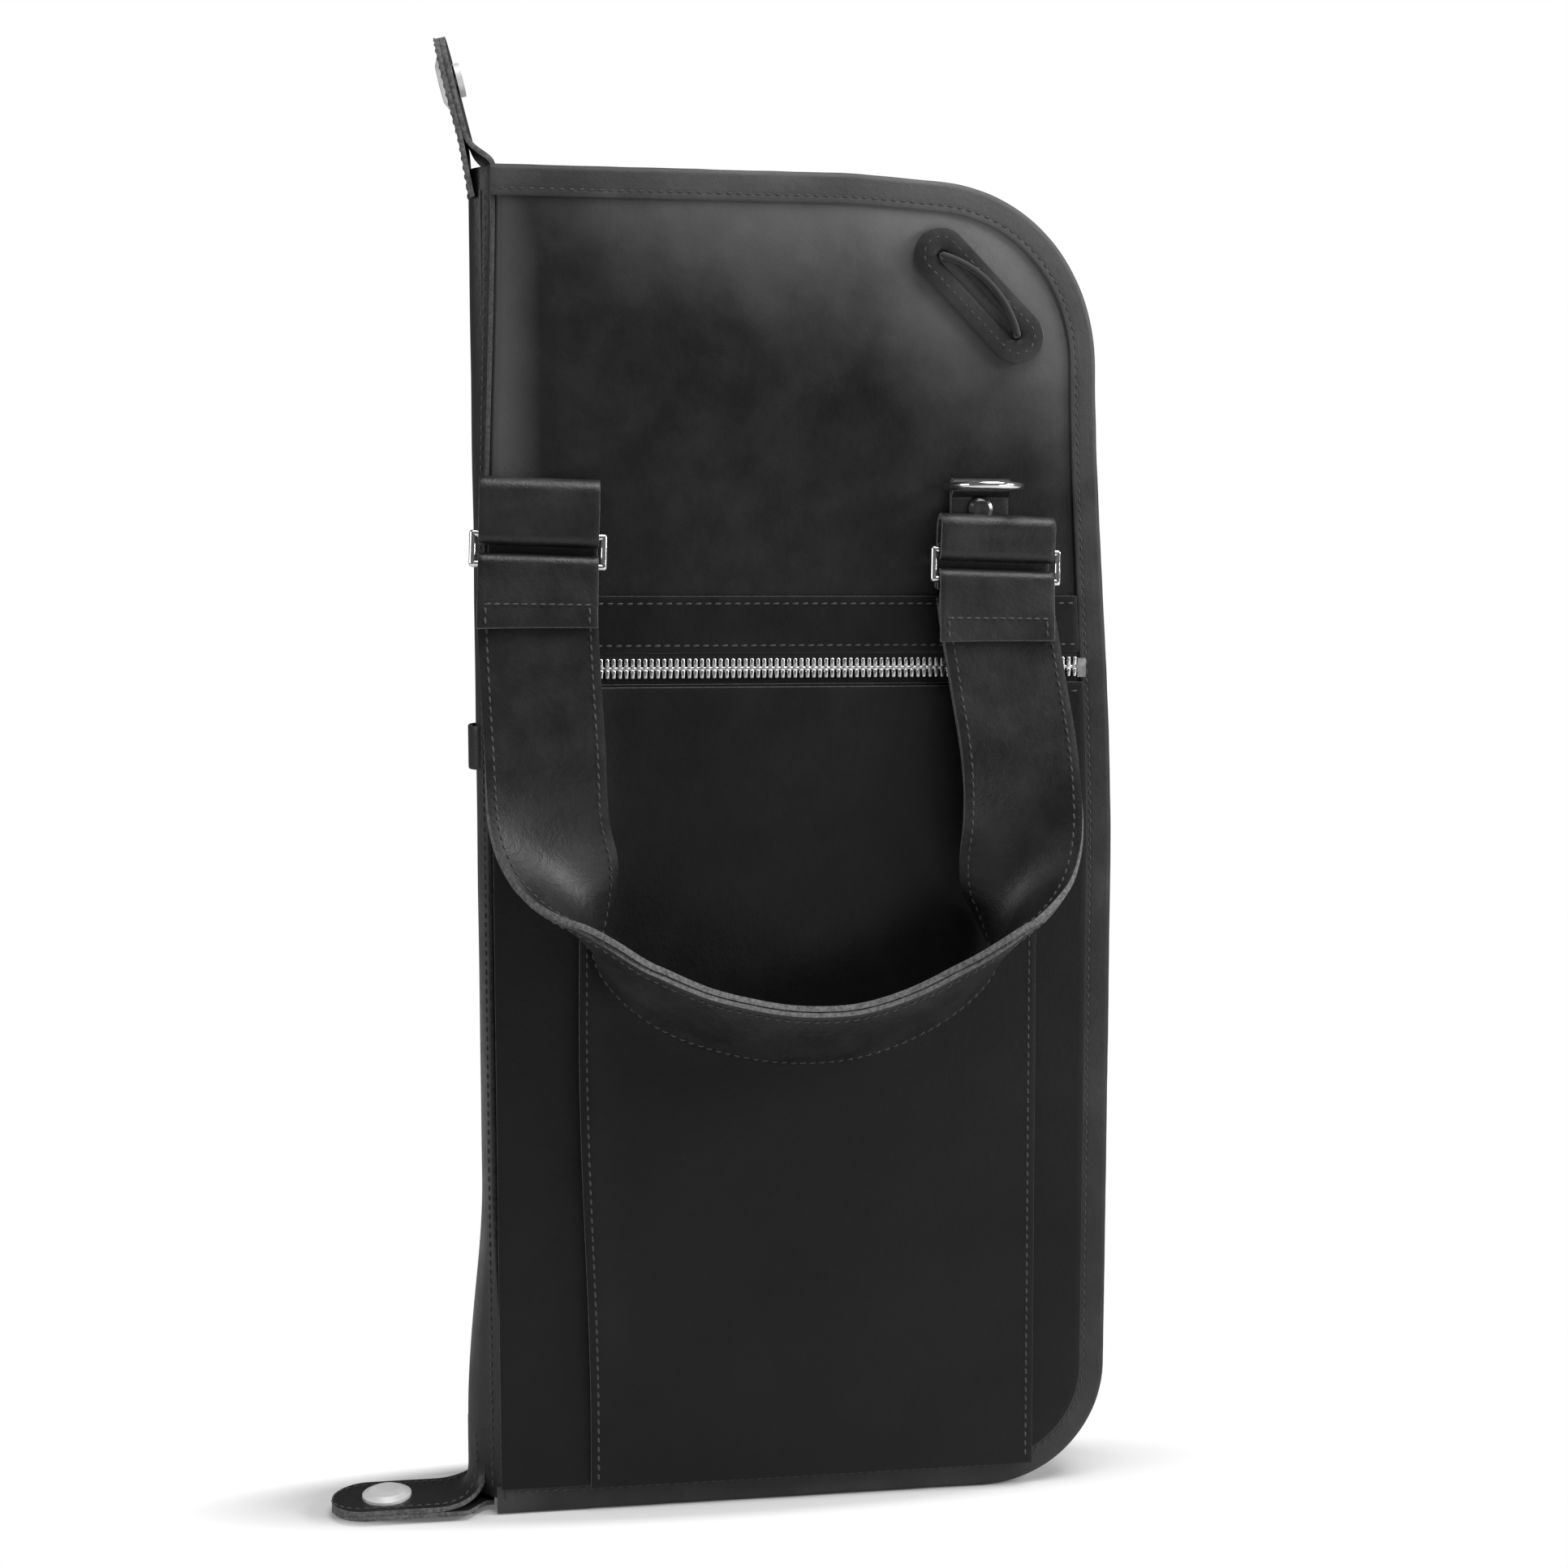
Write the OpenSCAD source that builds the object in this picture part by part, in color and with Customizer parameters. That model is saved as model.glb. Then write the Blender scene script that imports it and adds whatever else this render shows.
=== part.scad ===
// Zip-around leather drum stick bag, closed and standing on its bottom edge.
// Origin: on the floor, at the middle of the front half's bottom edge (the front seam plane is y = 0).
// +Z is up, -Y is the side with the handle and pockets, -X is the spine, +X is the opening side.

/* [Bag] */
// Width of the front face, spine edge to opening edge
bag_w = 219; // [200:1:240]
// Height of the bag
bag_h = 464; // [445:1:490]
// Thickness of the closed bag over both panels
bag_t = 34; // [32:1:44]
// Radius of the two top corners on the opening side
corner_top_r = 62; // [50:1:75]
// Radius of the two bottom corners on the opening side
corner_bottom_r = 40; // [25:1:48]
// Thickness of the front and back panels
panel_t = 2; // [1.5:0.1:2.6]
// Thickness of the cloth lining
lining_t = 0.8; // [0.5:0.1:1.2]

/* [Gusset and binding] */
// Distance from the binding's outer edge in to the gusset wall
gusset_inset = 5; // [4.5:0.1:6]
// Thickness of the gusset leather
gusset_t = 1.8; // [1.4:0.1:2.2]
// Height of each gusset wall, measured from the seam plane
gusset_h = 10.5; // [9:0.1:11]
// Width of the binding on the face
binding_w = 10.5; // [8:0.1:13]
// Thickness of the binding leather
binding_t = 1.3; // [1:0.1:1.6]

/* [Main zip] */
// Width of one side of the tape
main_tape_w = 5.1; // [4:0.1:6]
// Thickness of the tape
main_tape_t = 0.7; // [0.5:0.1:0.9]
// Height of the row of teeth over the tape's two faces
main_teeth_t = 2.3; // [2:0.1:2.6]
// Width of one row of teeth
main_teeth_w = 2.25; // [1.8:0.05:2.4]
// Place of the slider along the top edge
main_slider_x = -38; // [-45:1:-30]
// Travel of the slider along the straight top edge
main_travel = 70; // [40:1:75]

/* [Pocket] */
// Height of the pocket zip's centre line above the floor
pocket_zip_z = 296.3; // [280:0.5:300]
// Width of the pocket's header strip
header_w = 19.5; // [15:0.5:24]
// Opening between the header strip and the pocket panel
pocket_gap = 10.8; // [9:0.1:12]
// Thickness of the pocket leather
pocket_t = 1.6; // [1.2:0.1:2]
// Room behind the zip pocket's panel
pocket_room = 0.6; // [0.4:0.1:1.2]
// Pitch of the pocket zip's teeth along one side
tooth_pitch = 4.3; // [4:0.1:5]
// Width over both rows of pocket zip teeth
tooth_chain_w = 6.6; // [6:0.1:7]
// Left edge of the slip pocket
slip_left = -79; // [-85:1:-70]
// Right edge of the slip pocket
slip_right = 81.5; // [70:0.5:84]
// Room behind the slip pocket
slip_room = 1.2; // [0.6:0.1:1.4]
// Width of the seams round both pockets
seam_w = 8; // [5:0.5:10]
// Place of the pocket slider's middle
pocket_slider_x = -99; // [-101:1:-97]
// Travel of the pocket slider
pocket_travel = 186; // [150:1:188]

/* [Handle] */
// Width of the handle strap
strap_w = 40; // [34:1:41]
// Thickness of one layer of strap leather
strap_t = 2.2; // [1.8:0.1:2.4]
// Middle of the left anchor
anchor_left_x = -91.5; // [-92:0.5:-88]
// Middle of the right anchor
anchor_right_x = 65.2; // [62:0.2:68]
// Height of the left ring's upper bar
ring_left_z = 341.6; // [338:0.2:345]
// Height of the right ring's upper bar
ring_right_z = 336.6; // [334:0.2:340]
// Rise of the left anchor's fold above the ring's upper bar
fold_left_rise = 16.7; // [14:0.1:19]
// Rise of the right anchor's fold above the ring's upper bar
fold_right_rise = 9.6; // [9.2:0.1:9.8]
// Radius of the ring wire
ring_wire_r = 1.2; // [1:0.05:1.3]
// Distance between the centres of the ring's two long bars
ring_bar_gap = 10.1; // [9.5:0.1:11]
// Length of the ring between the centres of its short sides
ring_w = 43.6; // [43.6:0.1:45]
// Length of the strap end that is folded over the ring and sewn down
flap_len = 21.3; // [16:0.1:26]

/* [D-ring] */
// Middle of the D-ring
dring_x = 60; // [58:0.5:62]
// Height of the D-ring's straight bar
dring_z = 358.5; // [357:0.5:361]
// Radius of the D-ring's wire
dring_wire_r = 1.35; // [1.2:0.05:1.5]
// Radius of the D-ring's bow, to the middle of the wire
dring_r = 11.7; // [11.5:0.1:13]
// Width of the keeper that holds the D-ring
keeper_w = 20; // [16:0.5:20]
// Radius of the rivet's cap
rivet_r = 4.2; // [3.5:0.1:4.3]

/* [Cord patch] */
// Length of the patch
patch_len = 60; // [54:1:64]
// Width of the patch
patch_w = 20; // [17:0.5:24]
// Thickness of the patch
patch_t = 2.5; // [2:0.1:3]
// Middle of the patch along the width
patch_x = 59.5; // [56:0.5:62]
// Middle of the patch above the floor
patch_z = 423.7; // [420:0.5:426]
// Distance between the slot's two round ends
slot_len = 37; // [30:1:40]
// Width of the slot
slot_w = 3; // [2.8:0.1:3.6]
// Radius of the elastic cord
cord_r = 1.1; // [0.9:0.05:1.2]
// Rise of the cord's bow between the slot's ends
cord_bow = 5; // [4:0.5:7]

/* [Spine and tabs] */
// Rise of the spine's round back beyond its edges
spine_bulge = 3.5; // [2.5:0.1:5]
// Thickness of the spine leather
spine_t = 2.2; // [1.8:0.1:2.6]
// Height of the keeper on the spine
spine_keeper_z = 269.5; // [255:0.5:285]
// Length of the keeper along the spine
spine_keeper_h = 15; // [12:0.5:18]
// Rise of the keeper over the spine
spine_keeper_t = 2.6; // [2:0.1:3.5]
// Width of the two snap tabs
tab_w = 24.5; // [20:0.5:24.5]
// Thickness of the snap tabs
tab_t = 3.6; // [3:0.1:4]
// Reach of the tabs from their root to the tip
tab_len = 52; // [48:0.5:56]
// Distance from the tab's root to the snap
snap_reach = 33; // [30:0.5:35]
// Radius of the snap's cap
snap_cap_r = 8.5; // [6.5:0.1:9]
// Lean of the top tab away from the vertical, at rest
top_tab_lean = 14; // [10:1:20]
// Middle of the bottom tab, which lies a little forward of the spine's middle
bottom_tab_y = 6; // [6:0.5:8]

/* [Inside] */
// Number of stick sleeves in the back half
sleeve_count = 4; // [3:1:5]
// Height of the stick sleeves
sleeve_h = 255; // [200:1:265]
// Thickness of the sleeve cloth
sleeve_t = 1.2; // [0.9:0.1:1.6]
// Width of the flat pocket in the front half
inner_pocket_w = 156; // [120:1:170]
// Height of the flat pocket in the front half
inner_pocket_h = 170; // [140:1:190]

/* [Clearances] */
// Gap between pieces that move against each other
move_gap = 0.3; // [0.2:0.05:0.4]
// Gap round a wire in its leather loop
loop_gap = 0.3; // [0.2:0.05:0.35]
// Gap between the two rows of main zip teeth
mesh_gap = 0.3; // [0.2:0.05:0.5]

/* [Hidden] */
left_x = -bag_w / 2;
right_x = bag_w / 2;
face_y = -panel_t;
back_face_y = bag_t - panel_t;
mid_y = (face_y + back_face_y) / 2;
flange_t = 1.2;
binding_lip = 1.2;
wrap = binding_t;
gusset_in = gusset_inset + gusset_t;
tooth_row_y = mid_y - mesh_gap / 2 - main_teeth_w;
tape_in = gusset_in + main_tape_t;
teeth_mid = gusset_in + main_tape_t / 2;
round_fn = 96;
small_fn = 48;

// pocket layers on the front face
pocket_left = left_x + 1.5;
pocket_right = right_x - binding_w - 0.1;
header_bottom = pocket_zip_z + pocket_gap / 2 + 0.1;
panel_top = pocket_zip_z - pocket_gap / 2 + 0.4;
zip_panel_t = pocket_t + pocket_room;
zip_panel_y = face_y - zip_panel_t;
slip_panel_y = zip_panel_y - pocket_t - slip_room;
slip_top = panel_top - 0.8;
pocket_tape_t = 0.6;
tooth_t = 2.4;
tooth_w = tooth_pitch / 2 - 0.25;
tooth_overlap = 1.1;
tooth_len = tooth_chain_w / 2 + tooth_overlap;
stop_w = 3;
tooth_start = pocket_left + stop_w + 1;
tooth_count = floor((pocket_right - stop_w - 1 - tooth_start) / tooth_pitch);

// handle rings: both upper bars lie on one slightly sloping axis
ring_slope = atan((ring_left_z - ring_right_z) / (anchor_right_x - anchor_left_x));
ring_axis_z = ring_left_z + (ring_right_z - ring_left_z) * (-anchor_left_x)
    / (anchor_right_x - anchor_left_x);
loop_r = ring_wire_r + loop_gap + strap_t;
bore_r = ring_wire_r + loop_gap;
upper_bar_y = face_y - strap_t - 0.2 - loop_r;
ring_lean = 6;
lower_bar_y = upper_bar_y - ring_bar_gap * sin(ring_lean);
lower_bar_drop = ring_bar_gap * cos(ring_lean);
anchor_low = pocket_zip_z + pocket_gap / 2 + header_w + 1.2;
leg_tilt = 9;
backing_t = 1.9;

// spine and tabs
spine_half = (back_face_y - face_y) / 2;
spine_r = (spine_half * spine_half + spine_bulge * spine_bulge) / (2 * spine_bulge);
spine_edge_x = left_x - move_gap;
spine_axis_x = spine_edge_x - spine_bulge + spine_r;
spine_end_gap = 6.2;
tab_r = tab_t / 2;
top_root_x = left_x - 1;
top_root_z = bag_h - 2.6;
bottom_root_x = left_x - 5.5;
bottom_root_z = tab_r + 2.1;
spine_top = top_root_z - tab_r - 0.5;
snap_cap_h = 2.2;
socket_h = 2;
socket_r = 5.5;
end_patch_t = 1.2;
end_patch_len = 30;
stud_r = 2.6;
stud_h = 2.2;

// centre line of the hanging handle, left ring to right ring, and how far each place has
// turned from facing away from the bag (0) to facing up and back (1), its outer edges in front
handle_mid_y = -27.1;
handle_low_z = 172.8;
arc_rise = 36;
handle_path = [
    [-91.9, -8.8, 326.8, 0], [-92.2, -9.9, 320, 0], [-91.7, -13, 300, 0], [-90.4, -18.2, 270, 0],
    [-89.2, -22.4, 245.3, 0.2], [-83, -24.8, 229.2, 0.36], [-77.2, -27.3, 217.6, 0.55],
    [-71.1, -29, 206.8, 0.82], [-61.3, -28.3, 194, 0.94], [-44.2, -27.6, 182.5, 1], [-22.8, handle_mid_y, 175.5, 1],
    [-3.7, handle_mid_y, handle_low_z, 1], [15.4, handle_mid_y, 174, 1], [34.5, -27.6, 180.4, 1],
    [50.6, -28.3, 190.2, 1], [61, -29, 201.4, 0.92], [65.8, -27.3, 212.4, 0.68], [68.6, -24.8, 225, 0.43],
    [72, -22.4, 242.4, 0.2], [71.6, -18.2, 266, 0], [68.2, -13.4, 292.5, 0], [65, -9.8, 315.3, 0],
    [64.8, -8.8, 321.2, 0]];

// ---- outline of the bag ----

// D-shaped outline of a half, drawn d inside the outer edge on its three open sides
module outline(d) {
    block_x = right_x - corner_top_r;
    translate([left_x, d])
        square([block_x - left_x, bag_h - 2 * d]);
    translate([block_x, corner_bottom_r])
        square([corner_top_r - d, bag_h - corner_top_r - corner_bottom_r]);
    translate([block_x, d])
        square([corner_top_r - corner_bottom_r, corner_bottom_r]);
    translate([block_x, bag_h - corner_top_r])
        circle(r = corner_top_r - d, $fn = round_fn);
    translate([right_x - corner_bottom_r, corner_bottom_r])
        circle(r = corner_bottom_r - d, $fn = round_fn);
}

// Extrudes a drawing of x and z from y0 to y1
module across(y0, y1) {
    translate([0, y1, 0])
        rotate([90, 0, 0])
            linear_extrude(y1 - y0)
                children();
}

module slab(d, y0, y1) {
    across(y0, y1)
        outline(d);
}

module rim(d0, d1, y0, y1) {
    across(y0, y1)
        difference() {
            outline(d0);
            outline(d1);
        }
}

module box(low, high) {
    translate(low)
        cube(high - low);
}

// A rod along X between x0 and x1
module rod_x(r, x0, x1) {
    translate([x0, 0, 0])
        rotate([0, 90, 0])
            cylinder(r = r, h = x1 - x0, $fn = small_fn);
}

// A disc whose axis runs along Y
module disc_y(r, y0, y1) {
    translate([0, y1, 0])
        rotate([90, 0, 0])
            cylinder(r = r, h = y1 - y0, $fn = small_fn);
}

// ---- what the two halves have in common, drawn as the front half ----

module half_panel() {
    slab(wrap, face_y, 0);
}

module half_lining() {
    slab(gusset_in + 0.2, 0, lining_t);
}

module half_gusset() {
    rim(wrap, gusset_in, 0, flange_t);
    rim(gusset_inset, gusset_in, 0, gusset_h);
}

module half_binding() {
    rim(0, binding_w, face_y - binding_t, face_y);
    rim(0, wrap, face_y, flange_t);
    rim(0, gusset_inset, flange_t, flange_t + binding_lip);
}

module half_zip_tape() {
    rim(gusset_in, tape_in, tooth_row_y - main_tape_w, tooth_row_y);
}

module half_zip_teeth() {
    rim(teeth_mid - main_teeth_t / 2, teeth_mid + main_teeth_t / 2,
        tooth_row_y, tooth_row_y + main_teeth_w);
}

// Places a piece of the front half on the back half
module on_back() {
    translate([0, 2 * mid_y, 0])
        mirror([0, 1, 0])
            children();
}

// ---- front half ----

module front_panel() {
    color("#1b1b1c")
        difference() {
            half_panel();
            translate([dring_x, 0, rivet_z()])
                disc_y(rivet_shank_r() + 0.05, face_y - 1, 1);
        }
}

module front_lining() {
    color("#2b2b2d")
        half_lining();
}

module front_gusset() {
    color("#1d1d1e")
        half_gusset();
}

module front_binding() {
    color("#202021")
        half_binding();
}

module front_zip_tape() {
    color("#18181a")
        half_zip_tape();
}

module front_zip_teeth() {
    color("silver")
        half_zip_teeth();
}

// Outline of what is sewn on the face between two heights
module face_field(x0, x1, z0, z1) {
    intersection() {
        outline(binding_w + 0.1);
        translate([x0, z0])
            square([x1 - x0, z1 - z0]);
    }
}

module pocket_header() {
    color("#232324")
        across(face_y - pocket_t, face_y)
            face_field(pocket_left, pocket_right, header_bottom, header_bottom + header_w);
}

module pocket_zip_tape() {
    upper_z = pocket_zip_z + tooth_chain_w / 2;
    lower_z = pocket_zip_z - tooth_chain_w / 2;
    color("#161617") {
        box([pocket_left, face_y - pocket_tape_t, upper_z], [pocket_right, face_y, header_bottom]);
        box([pocket_left, face_y - pocket_tape_t, panel_top], [pocket_right, face_y, lower_z]);
    }
}

module pocket_zip_teeth() {
    color("silver")
        for (i = [0 : tooth_count - 1]) {
            x = tooth_start + i * tooth_pitch;
            box([x, face_y - tooth_t, pocket_zip_z - tooth_overlap],
                [x + tooth_w, face_y, pocket_zip_z + tooth_chain_w / 2]);
            box([x + tooth_pitch / 2, face_y - tooth_t, pocket_zip_z - tooth_chain_w / 2],
                [x + tooth_pitch / 2 + tooth_w, face_y, pocket_zip_z + tooth_overlap]);
        }
}

module pocket_zip_stops() {
    color("silver")
        for (x = [pocket_left + 0.3, pocket_right - stop_w - 0.3])
            box([x, face_y - tooth_t, pocket_zip_z - tooth_chain_w / 2],
                [x + stop_w, face_y, pocket_zip_z + tooth_chain_w / 2]);
}

module zip_pocket_panel() {
    color("#1c1c1d")
        difference() {
            across(zip_panel_y, face_y)
                face_field(pocket_left, pocket_right, 0, panel_top);
            across(face_y - pocket_room, face_y + 1)
                intersection() {
                    outline(binding_w + seam_w);
                    translate([pocket_left + seam_w, 0])
                        square([bag_w, panel_top + 1]);
                }
        }
}

module slip_pocket_panel() {
    color("#1f1f20")
        difference() {
            across(slip_panel_y, zip_panel_y)
                face_field(slip_left, slip_right, 0, slip_top);
            across(zip_panel_y - slip_room, zip_panel_y + 1)
                translate([slip_left + seam_w, binding_w + seam_w])
                    square([slip_right - slip_left - 2 * seam_w, slip_top]);
        }
}

// Places a drawing of the patch, whose long side slopes down to the right
module on_patch() {
    translate([patch_x, 0, patch_z])
        rotate([0, 45, 0])
            children();
}

module stadium_y(length, width, y0, y1) {
    across(y0, y1) {
        square([length - width, width], center = true);
        for (side = [-1, 1])
            translate([side * (length - width) / 2, 0])
                circle(r = width / 2, $fn = small_fn);
    }
}

module cord_patch() {
    color("#242425")
        on_patch()
            difference() {
                stadium_y(patch_len, patch_w, face_y - patch_t, face_y);
                stadium_y(slot_len + slot_w, slot_w, face_y - patch_t - 1, face_y + 1);
            }
}

module elastic_cord() {
    half_chord = slot_len / 2;
    bow_r = (half_chord * half_chord + cord_bow * cord_bow) / (2 * cord_bow);
    half_angle = asin(half_chord / bow_r);
    cord_y = face_y - patch_t - cord_r - 0.1;
    color("#101011")
        on_patch() {
            translate([0, cord_y, cord_bow - bow_r])
                rotate([90, 0, 0])
                    rotate([0, 0, 90 - half_angle])
                        rotate_extrude(angle = 2 * half_angle, $fn = round_fn)
                            translate([bow_r, 0])
                                circle(r = cord_r, $fn = small_fn);
            for (side = [-1, 1])
                translate([side * half_chord, 0, 0]) {
                    disc_y(cord_r, cord_y, face_y - 0.2);
                    translate([0, cord_y, 0])
                        sphere(r = cord_r, $fn = small_fn);
                }
        }
}

function rivet_z() = dring_z - 3.3 - rivet_r;
function rivet_shank_r() = 1.5;

module d_ring_keeper() {
    layers_t = 2 * pocket_t + 0.2;
    keeper_loop_r = dring_wire_r + loop_gap + pocket_t;
    color("#1e1e1f")
        difference() {
            union() {
                translate([dring_x, face_y - keeper_loop_r, dring_z])
                    rod_x(keeper_loop_r, -keeper_w / 2, keeper_w / 2);
                box([dring_x - keeper_w / 2, face_y - layers_t, rivet_z() - rivet_r],
                    [dring_x + keeper_w / 2, face_y, dring_z]);
            }
            translate([dring_x, face_y - keeper_loop_r, dring_z])
                rod_x(dring_wire_r + loop_gap, -keeper_w, keeper_w);
            translate([dring_x, 0, rivet_z()])
                disc_y(rivet_shank_r() + 0.05, face_y - 20, face_y + 1);
        }
}

module d_ring_rivet() {
    cap_y = face_y - 2 * pocket_t - 0.2;
    color("silver")
        translate([dring_x, 0, rivet_z()]) {
            disc_y(rivet_r, cap_y - 0.8, cap_y);
            translate([0, cap_y - 0.8, 0])
                rotate([90, 0, 0])
                    cylinder(r1 = rivet_r, r2 = rivet_r - 1.2, h = 0.7, $fn = small_fn);
            disc_y(rivet_shank_r(), cap_y, 0);
        }
}

// Places a drawing whose x axis is the sloping axis of the ring bars
module on_ring_axis() {
    translate([0, 0, ring_axis_z])
        rotate([0, ring_slope, 0])
            children();
}

// Strap folded over at the top, sewn to the face behind and carrying the ring in front
module anchor_strap(x, ring_z, rise) {
    fold_r = (face_y - (upper_bar_y - loop_r)) / 2;
    fold_y = face_y - fold_r;
    fold_z = rise - fold_r;
    x0 = x - strap_w / 2;
    x1 = x + strap_w / 2;
    on_ring_axis()
        difference() {
            union() {
                box([x0, upper_bar_y - loop_r, 0], [x1, upper_bar_y - loop_r + strap_t, fold_z]);
                box([x0, face_y - strap_t, anchor_low - ring_z + 1], [x1, face_y, fold_z]);
                translate([0, upper_bar_y, 0])
                    rod_x(loop_r, x0, x1);
                intersection() {
                    difference() {
                        translate([0, fold_y, fold_z])
                            rod_x(fold_r, x0, x1);
                        translate([0, fold_y, fold_z])
                            rod_x(fold_r - strap_t, x0 - 1, x1 + 1);
                    }
                    box([x0 - 1, face_y - 20, fold_z], [x1 + 1, face_y + 1, fold_z + 20]);
                }
            }
            translate([0, upper_bar_y, 0])
                rod_x(bore_r, x0 - 1, x1 + 1);
        }
}

// The layer against the face ends short of the spine, which folds past it
module left_anchor_strap() {
    color("#212122")
        difference() {
            anchor_strap(anchor_left_x, ring_left_z, fold_left_rise);
            box([left_x - 20, face_y - strap_t - 0.3, anchor_low - 5],
                [left_x + move_gap, face_y + 1, ring_left_z + fold_left_rise + 5]);
        }
}

module right_anchor_strap() {
    color("#212122")
        anchor_strap(anchor_right_x, ring_right_z, fold_right_rise);
}

module inner_pocket() {
    depth = mid_y - 2.7;
    x0 = -inner_pocket_w / 2;
    z0 = gusset_in + 5;
    color("#2b2b2d") {
        box([x0, depth - sleeve_t, z0], [x0 + inner_pocket_w, depth, z0 + inner_pocket_h]);
        box([x0, lining_t, z0], [x0 + inner_pocket_w, depth - sleeve_t, z0 + sleeve_t]);
        for (x = [x0, x0 + inner_pocket_w - sleeve_t])
            box([x, lining_t, z0 + sleeve_t], [x + sleeve_t, depth - sleeve_t, z0 + inner_pocket_h]);
    }
}

// Leather plate over the end of the main zip; up is 1 at the top of the bag and -1 at the bottom
module stud_patch(up) {
    edge_z = up > 0 ? bag_h - gusset_inset : gusset_inset;
    z0 = up > 0 ? edge_z + move_gap : edge_z - move_gap - end_patch_t;
    middle = up > 0 ? top_root_x + snap_reach : bottom_root_x + snap_reach;
    box([middle - end_patch_len / 2, mid_y - tab_w / 2 + 0.3, z0],
        [middle + end_patch_len / 2, mid_y + tab_w / 2 - 0.3, z0 + end_patch_t]);
}

module snap_stud(up) {
    plate_z = up > 0 ? bag_h - gusset_inset + move_gap + end_patch_t
        : gusset_inset - move_gap - end_patch_t - stud_h;
    middle = up > 0 ? top_root_x + snap_reach : bottom_root_x + snap_reach;
    translate([middle, mid_y, plate_z])
        cylinder(r = stud_r, h = stud_h, $fn = small_fn);
}

module top_stud_patch() {
    color("#1e1e1f")
        stud_patch(1);
}

module top_snap_stud() {
    color("silver")
        snap_stud(1);
}

module bottom_stud_patch() {
    color("#1e1e1f")
        stud_patch(-1);
}

module bottom_snap_stud() {
    color("silver")
        snap_stud(-1);
}

// ---- handle and its rings ----

// Rectangular wire ring whose upper bar turns in the anchor's loop
module wire_ring(x) {
    x0 = x - ring_w / 2;
    x1 = x + ring_w / 2;
    on_ring_axis()
        translate([0, upper_bar_y, 0])
            rotate([-ring_lean, 0, 0]) {
                for (z = [0, -ring_bar_gap])
                    translate([0, 0, z])
                        rod_x(ring_wire_r, x0, x1);
                for (side = [x0, x1]) {
                    translate([side, 0, -ring_bar_gap])
                        cylinder(r = ring_wire_r, h = ring_bar_gap, $fn = small_fn);
                    for (z = [0, -ring_bar_gap])
                        translate([side, 0, z])
                            sphere(r = ring_wire_r, $fn = small_fn);
                }
            }
}

module left_ring() {
    color("silver")
        wire_ring(anchor_left_x);
}

module right_ring() {
    color("silver")
        wire_ring(anchor_right_x);
}

function unit(v) = v / norm(v);

// Way along the path at station i
function path_way(i) =
    let (last = len(handle_path) - 1, a = handle_path[max(i - 1, 0)], b = handle_path[min(i + 1, last)])
    unit([b[0] - a[0], b[1] - a[1], b[2] - a[2]]);

// Direction across the strap at station i, from its outer to its inner edge
function path_across(i) =
    let (turn = handle_path[i][3], side = i < len(handle_path) / 2 ? 1 : -1, way = path_way(i),
        raw = unit([side * (1 - turn), turn * cos(arc_rise), -turn * sin(arc_rise)]))
    unit(raw - (raw * way) * way);

// Corner of the strap's section at station i; s is -1 or 1 across it and n is the height over its middle
function strap_corner(i, s, n) =
    let (p = handle_path[i], across = path_across(i))
    [p[0], p[1], p[2]] + s * strap_w / 2 * across + n * cross(path_way(i), across);

// Two triangles between corners a and b of a station and those of the next; both layers split
// the side where they meet along the same diagonal
function strap_wall(a, b, next, rising) = rising
    ? [[a, b, a + next], [b, b + next, a + next]]
    : [[a, b, b + next], [a, b + next, a + next]];

// One layer of the handle between heights n0 and n1 over the strap's middle
module strap_layer(n0, n1) {
    count = len(handle_path);
    points = [for (i = [0 : count - 1])
        each [strap_corner(i, -1, n0), strap_corner(i, 1, n0), strap_corner(i, 1, n1),
            strap_corner(i, -1, n1)]];
    walls = [for (i = [0 : count - 2], k = [0 : 3])
        each strap_wall(4 * i + k, 4 * i + (k + 1) % 4, 4, k < 2)];
    last = 4 * (count - 1);
    polyhedron(points, concat([[0, 2, 1], [0, 3, 2], [last, last + 1, last + 2],
        [last, last + 2, last + 3]], walls), convexity = 10);
}

module handle_strap() {
    color("#222223")
        strap_layer(0.03, strap_t);
}

module handle_backing() {
    color("#1b1b1c")
        strap_layer(-backing_t, -0.03);
}

// End of the strap, wrapped round the ring's lower bar and sewn down in front of the leg
module handle_loop(x, z) {
    x0 = x - strap_w / 2;
    x1 = x + strap_w / 2;
    on_ring_axis()
        translate([0, lower_bar_y, -lower_bar_drop])
            rotate([-leg_tilt, 0, 0])
                difference() {
                    union() {
                        rod_x(loop_r, x0, x1);
                        box([x0, -loop_r, -flap_len], [x1, -loop_r + strap_t, 0]);
                    }
                    rod_x(bore_r, x0 - 1, x1 + 1);
                }
}

module left_handle_loop() {
    color("#212122")
        handle_loop(anchor_left_x, ring_left_z);
}

module right_handle_loop() {
    color("#212122")
        handle_loop(anchor_right_x, ring_right_z);
}

// ---- D-ring, standing out from the face ----

module d_ring() {
    bar_y = face_y - dring_wire_r - loop_gap - pocket_t;
    arm = 8;
    color("silver")
        translate([dring_x, bar_y, dring_z]) {
            rod_x(dring_wire_r, -dring_r, dring_r);
            for (side = [-1, 1])
                translate([side * dring_r, 0, 0]) {
                    sphere(r = dring_wire_r, $fn = small_fn);
                    disc_y(dring_wire_r, -arm, 0);
                }
            translate([0, -arm, 0])
                rotate([0, 0, 180])
                    rotate_extrude(angle = 180, $fn = round_fn)
                        translate([dring_r, 0])
                            circle(r = dring_wire_r, $fn = small_fn);
        }
}

// ---- spine ----

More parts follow.
